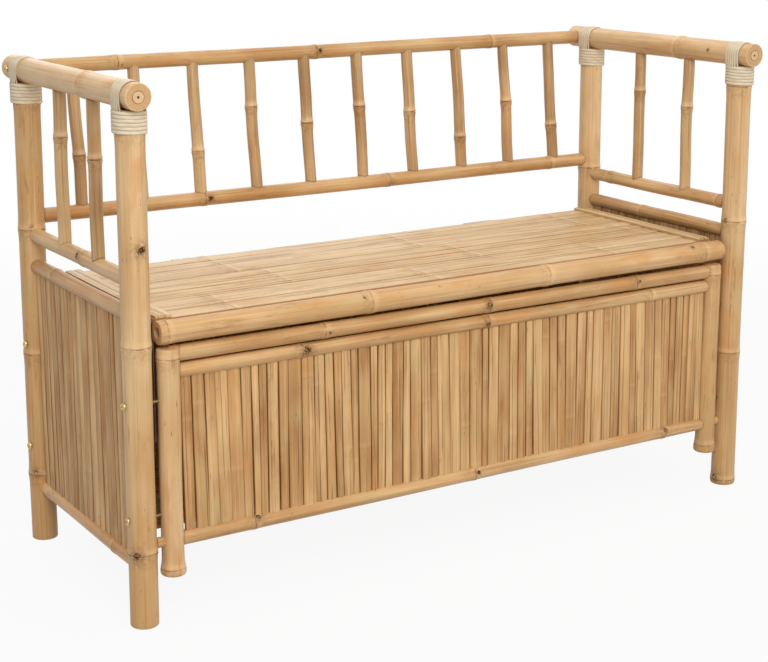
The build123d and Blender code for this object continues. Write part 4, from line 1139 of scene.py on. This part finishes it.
class BENCH_OT_panels(bpy.types.Operator):
    """Set the split slats of the box: front, rear, sides and floor"""

    bl_idname = "bench.panels"
    bl_label = "Box slats"

    LONG_COUNT = 57
    SIDE_COUNT = 20
    FLOOR_COUNT = 9
    CROWN_SHIFT = 0.6 * MM

    def execute(self, context):
        sizes, finishes = context.scene.bench_sizes, Finishes.ready
        recipe = slat_recipe()
        common = {**UNEQUAL, "gap": 1.7 * sizes.slat_gap, "thickness": sizes.slat_thickness,
                  "crown": sizes.slat_crown, "rows": 9, "internode": 420 * MM, "bundle": 1,
                  "lift": 1.4 * MM, "lean": 0.009, "rake": -0.012, "wedge": 0.008, "warp": 2.2 * MM,
                  "material": finishes.slat}

        def keep(node, values, place):
            piece = recipe.bake(f"{node}_split", {**common, **values}, None, place)
            settle(piece, "frame", "split_bamboo", node)

        def panel(node, count, phase, seed, axis, place):
            low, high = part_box(node)
            fall = self.fall("front_second_rail") if node == "front_slats" else 0.0
            width = (high - low)[axis] + sizes.slat_gap
            keep(node, {"count": count, "width": width, "phase": phase, "foot": low.z,
                        "head": high.z - fall * width / 2, "head_slope": -fall, "seed": seed}, place)

        front = middle("front_slats").y + self.CROWN_SHIFT
        rear = middle("rear_slats").y - self.CROWN_SHIFT
        place = turned((1, 0, 0), (0, 1, 0), (0, 0, 1), (0, front, 0))
        panel("front_slats", self.LONG_COUNT, 0.0, 1, 0, place)
        place = turned((-1, 0, 0), (0, -1, 0), (0, 0, 1), (0, rear, 0))
        panel("rear_slats", self.LONG_COUNT, 2.0, 2, 0, place)
        for name, side in SIDES.items():
            node = f"side_slats_{name}"
            at = middle(node)
            inward = (at.x - side * self.CROWN_SHIFT, at.y, 0)
            place = turned((0, side, 0), (-side, 0, 0), (0, 0, 1), inward)
            panel(node, self.SIDE_COUNT, 1.0 + side, 4 + side, 1, place)
        low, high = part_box("floor_slats")
        at = (0, middle("floor_slats").y, low.z + sizes.slat_thickness / 2)
        keep("floor_slats", {**STRAIGHT, "count": self.FLOOR_COUNT, "width": high.y - low.y + sizes.slat_gap,
                             "phase": 0.5, "foot": low.x, "head": high.x, "seed": 8, "rows": 25},
             turned(*LYING, at))
        return {"FINISHED"}

    @staticmethod
    def fall(rail):
        """How steeply a sloping rail falls, from its box."""
        low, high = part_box(rail)
        size = high - low
        return (size.z - size.y) / size.x


class BENCH_OT_seat(bpy.types.Operator):
    """Lay the seat's long slats and the strips across their ends"""

    bl_idname = "bench.seat"
    bl_label = "Seat"

    COUNT = 11
    STRIP_WIDTH = 27 * MM
    STRIP_CROWN = 0.6 * MM

    def execute(self, context):
        sizes, finishes = context.scene.bench_sizes, Finishes.ready
        recipe = slat_recipe()
        low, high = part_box("lid_slats")
        common = {**UNEQUAL, **STRAIGHT, "gap": 1.5 * sizes.slat_gap, "internode": 360 * MM, "bundle": 4,
                  "lean": 0.0, "warp": 1.4 * MM, "material": finishes.seat}
        values = {"count": self.COUNT, "width": high.y - low.y + sizes.slat_gap, "phase": 0.3,
                  "foot": low.x, "head": high.x, "thickness": sizes.seat_thickness,
                  "crown": sizes.seat_crown, "rows": 41, "lift": 1.0 * MM, "seed": 21}
        at = (0, middle("lid_slats").y, low.z + sizes.seat_thickness / 2)
        piece = recipe.bake("lid_slats_split", {**common, **values}, None, turned(*LYING, at))
        settle(piece, "lid", "seat_bamboo", "lid_slats")
        self.end_strips(recipe, common)
        return {"FINISHED"}

    def end_strips(self, recipe, common):
        """Two narrow strips at each end, across the seat slats."""
        low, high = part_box("lid_end_strips")
        across = high.x - self.STRIP_WIDTH / 2
        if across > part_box("lid_slats")[1].x:
            raise RuntimeError("an end strip lies beyond the seat slats")
        thick = high.z - low.z - self.STRIP_CROWN
        for name, side in SIDES.items():
            values = {"count": 2, "width": self.STRIP_WIDTH, "phase": 0.9, "foot": low.y, "head": high.y,
                      "thickness": thick, "crown": self.STRIP_CROWN, "rows": 13, "lift": 0.6 * MM,
                      "seed": 31 + side, "warp": 0.5 * MM}
            place = turned((1, 0, 0), (0, 0, -1), (0, 1, 0), (side * across, 0, low.z + thick / 2))
            piece = recipe.bake(f"lid_end_strip_{name}_split", {**common, **values}, None, place)
            settle(piece, "lid", "seat_bamboo", "lid_end_strips")


# Cane lashings


def lashing_recipe():
    """Flat cane over an arm and round its leg, about the middle of the crossing."""
    make = Recipe("Cane lashing", arm_reach=float, leg_reach=float, drop=float, strands=int, pitch=float,
                  turns=int, band_drop=float, width=float, thickness=float, unrest=float, seed=int,
                  material="material")
    line = make.shape("GeometryNodeCurvePrimitiveLine")
    factor = make.number(make.node("GeometryNodeSplineParameter"), "Factor")

    def jitter(vector, stretch):
        placed = make.vector_math("MULTIPLY", vector, stretch)
        moved = make.vector_math("ADD", placed, make.combine(make["seed"]))
        return (make.number(make.noise_node(moved, 1.0)) - 0.5) * make["unrest"]

    strand = make.shape("GeometryNodeResampleCurve", line, None, {"Count": 56})
    copies = make.node("GeometryNodeDuplicateElements", {"domain": "SPLINE"},
                       {"Geometry": strand, "Amount": make["strands"]})
    order = make.number(copies, "Duplicate Index")
    reach, drop = make["arm_reach"], make["drop"]
    run = factor * (drop * 2.0 + reach * math.pi)
    angle = make.limit((run - drop) / reach, 0.0, math.pi)
    lane = order - (make["strands"] - 1) * 0.5
    y = lane * make["pitch"] + jitter(make.combine(factor, order), (6.0, 3.7, 1.0))
    below = make.math("MAXIMUM", drop - run, 0.0) + make.math("MAXIMUM", run - drop - reach * math.pi, 0.0)
    hug = make.math("SQRT", make["leg_reach"] * make["leg_reach"] - y * y)
    settled = make.ramp(below / drop, 0.15, 0.6)
    x = make.math("COSINE", angle) * (reach + (hug - reach) * settled)
    z = make.math("SINE", angle) * reach - below
    saddle = make.move(make.out(copies, "Geometry"), Position=make.combine(x, y, z))
    outward = make.combine(make.math("COSINE", angle), 0.0, make.math("SINE", angle))
    saddle = make.shape("GeometryNodeSetCurveNormal", saddle, {"mode": "FREE"}, {"Normal": outward})

    ring = make.shape("GeometryNodeResampleCurve", line, None, {"Count": 241})
    turn = factor * make["turns"] * (2 * math.pi)
    over = make.ramp(abs(make.math("COSINE", turn)), 0.45, 0.85)
    radius = make["leg_reach"] + make["thickness"] * (over * 0.9 + 0.1)
    height = (make["band_drop"] + factor * make["turns"] * make["pitch"]) * -1.0
    height = height + jitter(make.combine(turn, 0.0, 9.0), (0.8, 1.0, 1.0))
    loop = make.combine(make.math("COSINE", turn) * radius, make.math("SINE", turn) * radius, height)
    band = make.move(ring, Position=loop)
    band = make.shape("GeometryNodeSetCurveNormal", band, {"mode": "Z_UP"})

    section = make.shape("GeometryNodeCurvePrimitiveCircle", None, None, {"Resolution": 12, "Radius": 0.5})
    deep, edge, _ = make.split(make.position())
    section = make.store(section, "across", make.combine(edge * 2.0))
    section = make.move(section, Position=make.combine(deep * make["thickness"], edge * make["width"]))
    strips = []
    for curve in (saddle, band):
        length_along = make.number(make.node("GeometryNodeSplineParameter"), "Length")
        curve = make.store(curve, "cane_run", length_along, "FLOAT")
        sockets = {"Profile Curve": section, "Fill Caps": True}
        strips.append(make.shape("GeometryNodeCurveToMesh", curve, None, sockets))
    joined = make.node("GeometryNodeJoinGeometry")
    for strip in strips:
        make.tree.links.new(strip, joined.inputs[0])
    cane = make.shape("GeometryNodeRealizeInstances", joined.outputs[0])
    px, py, pz = make.split(make.position())
    side = make.split(make.read("across"))[0] * make["width"] * 0.5
    run = Number(make, make.read("cane_run", "FLOAT"))
    cane = make.store(cane, "grain", make.combine(side + py * 0.3, px * 0.3 + pz * 0.4, run))
    return make.finish(make.forget(cane, "cane_run"))


class BENCH_OT_lashings(bpy.types.Operator):
    """Wind flat cane over each arm and round its leg"""

    bl_idname = "bench.lashings"
    bl_label = "Cane lashings"

    STRANDS = 6
    TURNS = 6
    SADDLE_DROP = 48 * MM
    BAND_DROP = 19.4 * MM
    UNREST = 0.9 * MM
    BITE = 0.4 * MM
    SEED = 3

    def execute(self, context):
        sizes, finishes = context.scene.bench_sizes, Finishes.ready
        recipe = lashing_recipe()
        arm_low, arm_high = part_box("arm_rail_left")
        arm_radius = (arm_high.z - arm_low.z) / 2 - sizes.node_rise
        height = middle("arm_rail_left").z
        lie = sizes.cane_thickness / 2 - self.BITE
        common = {"arm_reach": arm_radius + lie, "drop": self.SADDLE_DROP, "strands": self.STRANDS,
                  "pitch": sizes.cane_pitch, "turns": self.TURNS, "band_drop": self.BAND_DROP,
                  "width": sizes.cane_width, "thickness": sizes.cane_thickness, "unrest": self.UNREST,
                  "material": finishes.cane}
        for order, leg in enumerate(LEGS):
            low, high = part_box(leg)
            leg_radius = (high.y - low.y) / 2 - sizes.node_rise
            at = middle(leg)
            node = leg.replace("leg", "lashing")
            values = {**common, "leg_reach": leg_radius + lie, "seed": self.SEED + order}
            piece = recipe.bake(f"{node}_cane", values, None, Matrix.Translation((at.x, at.y, height)))
            settle(piece, "frame", "cane", node)
        return {"FINISHED"}


# Screws and buds, set on points


def setting_recipe():
    """One small piece set on each point of a mesh, facing the point's own way."""
    make = Recipe("Set on points", piece="object", material="material")
    faced = make.node("FunctionNodeAlignRotationToVector", {"axis": "Z"}, {"Vector": make.read("facing")})
    spin = make.node("FunctionNodeRotateRotation", {"rotation_space": "LOCAL"},
                     {"Rotation": make.out(faced), "Rotate By": make.read("spin")})
    info = make.out(make.node("GeometryNodeObjectInfo", None, {"Object": make["piece"]}), "Geometry")
    placed = make.shape("GeometryNodeInstanceOnPoints", make.start.outputs[0], None,
                        {"Instance": info, "Rotation": make.out(spin), "Scale": make.read("size")})
    placed = make.shape("GeometryNodeRealizeInstances", placed)
    return make.finish(make.forget(placed, "facing", "spin", "size"))


def seats(name, places):
    """A mesh of bare points; each place is a position, a facing, a spin in degrees and a size."""
    mesh = bpy.data.meshes.new(name)
    positions, facings, spins, sizes = zip(*places)
    mesh.from_pydata([tuple(at) for at in positions], [], [])
    vector_layer(mesh, "facing", [tuple(facing) for facing in facings])
    vector_layer(mesh, "spin", [(0.0, 0.0, math.radians(spin)) for spin in spins])
    vector_layer(mesh, "size", sizes)
    return mesh


def dished(name, rings, height, sides=24):
    """A closed turned mesh about Z from (radius, height) rings; height may move each vertex."""
    points, faces, depth = [], [], []
    widest = max(radius for radius, _ in rings)
    for radius, z in rings:
        for j in range(sides):
            angle = 2 * math.pi * j / sides
            x, y = radius * math.cos(angle), radius * math.sin(angle)
            points.append((x, y, height(x, y, z)))
            share = radius / widest
            depth.append((share, float(z <= 0.0 and share < 0.9), 0.0))
    for k in range(len(rings) - 1):
        a = k * sides
        for j in range(sides):
            i = (j + 1) % sides
            faces.append((a + j, a + i, a + sides + i, a + sides + j))
    last = (len(rings) - 1) * sides
    faces.append(tuple(range(last, last + sides)))
    faces.append(tuple(reversed(range(sides))))
    mesh = bpy.data.meshes.new(name)
    mesh.from_pydata(points, [], faces)
    vector_layer(mesh, "across", depth)
    return mesh


def screw_mesh(name, head, dome, reach, shank):
    """A dome-headed screw with a cross recess, its head's underside at the origin and its head up."""
    slot_width, slot_length, slot_depth = 0.16 * head, 0.62 * head, 0.5 * dome

    def cut(x, y, z):
        in_cross = min(abs(x), abs(y)) < slot_width / 2 and max(abs(x), abs(y)) < slot_length / 2
        return z - slot_depth if in_cross and z > 0.3 * dome else z

    radius = head / 2
    angles = (0.0, 0.3, 0.6, 0.85, 1.05, 1.2, 1.32, 1.42, 1.5)
    curve = [(radius * math.cos(a), dome * math.sin(a)) for a in angles]
    below = [(0.3 * shank, -reach), (shank, -reach + 2 * MM), (shank, 0.0)]
    return dished(name, below + curve, cut, 32)


class BENCH_OT_screws(bpy.types.Operator):
    """Set the screws of the legs, the arms and the hinges"""

    bl_idname = "bench.screws"
    bl_label = "Screws"

    # The frame screws' heads are drawn this much fuller than the solids' own
    FULLER = 1.35
    FRAME_SHANK = 2.4 * MM
    HINGE_SHANK = 1.5 * MM
    FULL_SIZE = (1.0, 1.0, 1.0)
    # The hinges' screws: their node, their body and the way in which their heads face
    HINGE_SCREWS = (("hinge_box_screws", "frame", (0, 0, 1)), ("hinge_lid_screws", "lid", (0, 1, 0)))

    def execute(self, context):
        sizes, finishes = context.scene.bench_sizes, Finishes.ready
        recipe = setting_recipe()
        head, dome = sizes.frame_screw_head, sizes.frame_screw_dome
        frame_screw = link_object("frame_screw", screw_mesh(
            "frame_screw", self.FULLER * head, self.FULLER * dome, sizes.frame_screw_reach, self.FRAME_SHANK))
        low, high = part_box("leg_screws")
        places = []
        for side in SIDES.values():
            for y in (low.y + head / 2, high.y - head / 2):
                for z in (low.z + head / 2, high.z - head / 2):
                    at = (side * (high.x - dome), y, z)
                    places.append((at, (side, 0, 0), 37 * len(places), self.FULL_SIZE))
        self.keep(recipe, "leg_screws", places, frame_screw, "frame", finishes)
        at = middle("arm_screws")
        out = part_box("arm_screws")[1].x - dome
        places = [((side * out, at.y, at.z), (side, 0, 0), 25 * side, self.FULL_SIZE)
                  for side in SIDES.values()]
        self.keep(recipe, "arm_screws", places, frame_screw, "frame", finishes)

        head, dome = sizes.hinge_screw_head, sizes.hinge_screw_dome
        hinge_screw = link_object("hinge_screw", screw_mesh(
            "hinge_screw", head, dome, sizes.hinge_screw_reach, self.HINGE_SHANK))
        for node, body, facing in self.HINGE_SCREWS:
            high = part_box(node)[1]
            at = middle(node)
            if body == "frame":
                at.z = high.z - dome
            else:
                at.y = high.y - dome
            places = []
            for side in SIDES:
                leaf = middle(f"hinge_box_leaf_{side}").x
                for step in (-1, 0, 1):
                    x = leaf + step * sizes.hinge_screw_pitch
                    places.append(((x, at.y, at.z), facing, 31 * len(places), self.FULL_SIZE))
            self.keep(recipe, node, places, hinge_screw, body, finishes)
        for tool in (frame_screw, hinge_screw):
            bpy.data.objects.remove(tool)
        return {"FINISHED"}

    @staticmethod
    def keep(recipe, node, places, screw, body, finishes):
        values = {"piece": screw, "material": finishes.screw}
        piece = recipe.bake(f"{node}_set", values, seats(f"{node}_seats", places))
        settle(piece, body, "screw_steel", node)


class BENCH_OT_buds(bpy.types.Operator):
    """Set the branch buds that show on the poles"""

    bl_idname = "bench.buds"
    bl_label = "Branch buds"

    RINGS = ((1.0, -2.4), (1.0, -0.5), (0.88, 0.10), (0.70, 0.34), (0.52, 0.36), (0.36, 0.16),
             (0.20, 0.02))

    def execute(self, context):
        sizes, finishes = context.scene.bench_sizes, Finishes.ready
        recipe = setting_recipe()
        bud = link_object("bud", dished("bud", self.RINGS, self.lumpy, 16))
        values = {"piece": bud, "material": finishes.bud}
        for body in ("frame", "lid"):
            places = []
            for node in BUDS:
                on_lid = node.startswith("lid")
                if on_lid == (body == "lid"):
                    places += [(b.at, b.facing, 0.0, b.size) for b in self.culm(node, sizes).buds]
            piece = recipe.bake(f"{body}_buds", values, seats("bud_seats", places))
            settle(piece, body, "bamboo_pole")
        bpy.data.objects.remove(bud)
        return {"FINISHED"}

    @staticmethod
    def lumpy(x, y, z):
        """The bark's height, uneven round the bud."""
        bearing = math.atan2(y, x)
        return z + 0.16 * math.hypot(x, y) * (math.sin(2 * bearing + 0.6) + 0.6 * math.sin(5 * bearing + 2.0))

    @staticmethod
    def culm(node, sizes):
        """The culm that carries the buds of one node."""
        if node in SLOPING_RAILS:
            return sloping_rail(node, sizes)
        if node == "front_bottom_rail":
            return bottom_rail("front", sizes)
        low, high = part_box(node)
        axis = max(AXES, key=lambda name: (high - low)[AXES[name]])
        return pole(node, axis, sizes)


class BENCH_OT_fittings(bpy.types.Operator):
    """Finish the hinges, the battens under the seat, the dowels and the arm plugs"""

    bl_idname = "bench.fittings"
    bl_label = "Hinges and battens"

    def execute(self, context):
        finishes = Finishes.ready
        for side in SIDES:
            paint(finishes.hinge, f"hinge_box_leaf_{side}", f"hinge_lid_leaf_{side}", f"hinge_pin_{side}")
        paint(finishes.batten, "lid_battens", "arm_dowels")
        paint(finishes.plug, "arm_end_plugs")
        paint(finishes.long_batten, "lid_rear_batten")
        return {"FINISHED"}


# Stage


class BENCH_OT_stage(bpy.types.Operator):
    """Set the floor, the light and the camera"""

    bl_idname = "bench.stage"
    bl_label = "Stage"

    CAMERA_AT = (-1.4715, -2.3120, 1.0415)
    CAMERA_YAW = 32.042
    CAMERA_PITCH = 11.690
    CAMERA_SENSOR = 36.0
    CAMERA_LENS = 77.534
    CAMERA_SHIFT = -0.1185
    FLOOR_SIZE = 40.0
    FLOOR_DROP = 0.5 * MM
    FLOOR_GREY = (0.55, 0.55, 0.55, 1.0)
    FLOOR_FADE = (1.2, 3.2)
    FLOOR_GLOW = 0.92
    AMBIENT = 0.45
    LAMPS = {
        "key": ((-1.3, -3.0, 2.5), 2.2, 88.0),
        "fill": ((2.9, -1.8, 1.8), 2.2, 22.0),
        "top": ((0.2, 0.2, 3.4), 2.4, 25.0),
        "rear": ((0.9, 3.2, 2.3), 2.4, 22.0),
    }

    def execute(self, context):
        scene = context.scene
        scene.view_settings.view_transform = "Standard"
        self.floor()
        self.world(scene)
        aim = (CAD_BOX[0] + CAD_BOX[1]) / 2
        for name, (at, size, power) in self.LAMPS.items():
            lamp = bpy.data.lights.new(name, "AREA")
            lamp.size, lamp.energy = size, power
            held = link_object(f"{name}_lamp", lamp)
            held.location = at
            held.rotation_euler = (aim - Vector(at)).to_track_quat("-Z", "Y").to_euler()
        camera = bpy.data.cameras.new("camera")
        camera.sensor_width = self.CAMERA_SENSOR
        camera.lens, camera.shift_y = self.CAMERA_LENS, self.CAMERA_SHIFT
        held = link_object("camera", camera)
        held.location = self.CAMERA_AT
        held.rotation_euler = (math.radians(90 - self.CAMERA_PITCH), 0.0, math.radians(-self.CAMERA_YAW))
        scene.camera = held
        return {"FINISHED"}

    @staticmethod
    def seen(graph):
        """1 for rays that show the background: seen directly, mirrored or through glass."""
        path = graph.node("ShaderNodeLightPath")
        shown = graph.number(path, "Is Camera Ray") + graph.number(path, "Is Glossy Ray")
        return graph.limit(shown + graph.number(path, "Is Transmission Ray"))

    def floor(self):
        half = self.FLOOR_SIZE / 2
        mesh = bpy.data.meshes.new("floor")
        corners = ((-half, -half), (half, -half), (half, half), (-half, half))
        level = CAD_BOX[0].z - self.FLOOR_DROP
        mesh.from_pydata([(x, y, level) for x, y in corners], [], [(0, 1, 2, 3)])
        art = Finish("pale_floor")
        diffuse = art.node("ShaderNodeBsdfDiffuse", None, {"Color": self.FLOOR_GREY})
        glow = art.node("ShaderNodeEmission", None, {"Color": (1, 1, 1, 1), "Strength": 1.0})
        x, y, _ = art.split(art.place())
        far = art.ramp(art.math("SQRT", x * x + y * y), *self.FLOOR_FADE)
        glows = self.seen(art) * (far * (1.0 - self.FLOOR_GLOW) + self.FLOOR_GLOW)
        mixed = art.node("ShaderNodeMixShader", None, {0: glows})
        art.tree.links.new(diffuse.outputs[0], mixed.inputs[1])
        art.tree.links.new(glow.outputs[0], mixed.inputs[2])
        art.tree.links.new(mixed.outputs[0], art.result.inputs["Surface"])
        art.tree.nodes.remove(art.surface)
        mesh.materials.append(art.material)
        link_object("floor", mesh)

    def world(self, scene):
        world = bpy.data.worlds.new("studio")
        world.use_nodes = True
        scene.world = world
        art = Graph(world.node_tree)
        art.tree.nodes.clear()
        strength = self.seen(art) * (1.0 - self.AMBIENT) + self.AMBIENT
        light = art.node("ShaderNodeBackground", None, {"Color": (1, 1, 1, 1), "Strength": strength})
        result = art.node("ShaderNodeOutputWorld")
        art.tree.links.new(light.outputs[0], result.inputs["Surface"])


class BENCH_PT_panel(bpy.types.Panel):
    """The bench's pieces, in the order in which they are made"""

    bl_idname = "BENCH_PT_panel"
    bl_label = "Bamboo bench"
    bl_space_type = "VIEW_3D"
    bl_region_type = "UI"
    bl_category = "Bench"

    def draw(self, context):
        for step in STEPS:
            self.layout.operator(step.bl_idname)
        for group in (context.scene.bench_sizes, context.scene.bench_colours):
            for key in group.__annotations__:
                self.layout.prop(group, key)


STEPS = (BENCH_OT_poles, BENCH_OT_rails, BENCH_OT_spindles, BENCH_OT_panels, BENCH_OT_seat, BENCH_OT_lashings,
         BENCH_OT_screws, BENCH_OT_buds, BENCH_OT_fittings, BENCH_OT_stage)
CLASSES = (BenchSizes, BenchColours, *STEPS, BENCH_PT_panel)


def register():
    for kind in CLASSES:
        bpy.utils.register_class(kind)
    bpy.types.Scene.bench_sizes = bpy.props.PointerProperty(type=BenchSizes)
    bpy.types.Scene.bench_colours = bpy.props.PointerProperty(type=BenchColours)


def unregister():
    del bpy.types.Scene.bench_colours
    del bpy.types.Scene.bench_sizes
    for kind in reversed(CLASSES):
        bpy.utils.unregister_class(kind)


def main():
    register()
    Finishes.ready = Finishes(bpy.context.scene.bench_colours)
    for step in STEPS:
        group, name = step.bl_idname.split(".")
        getattr(getattr(bpy.ops, group), name)()


if __name__ == "__main__":
    main()
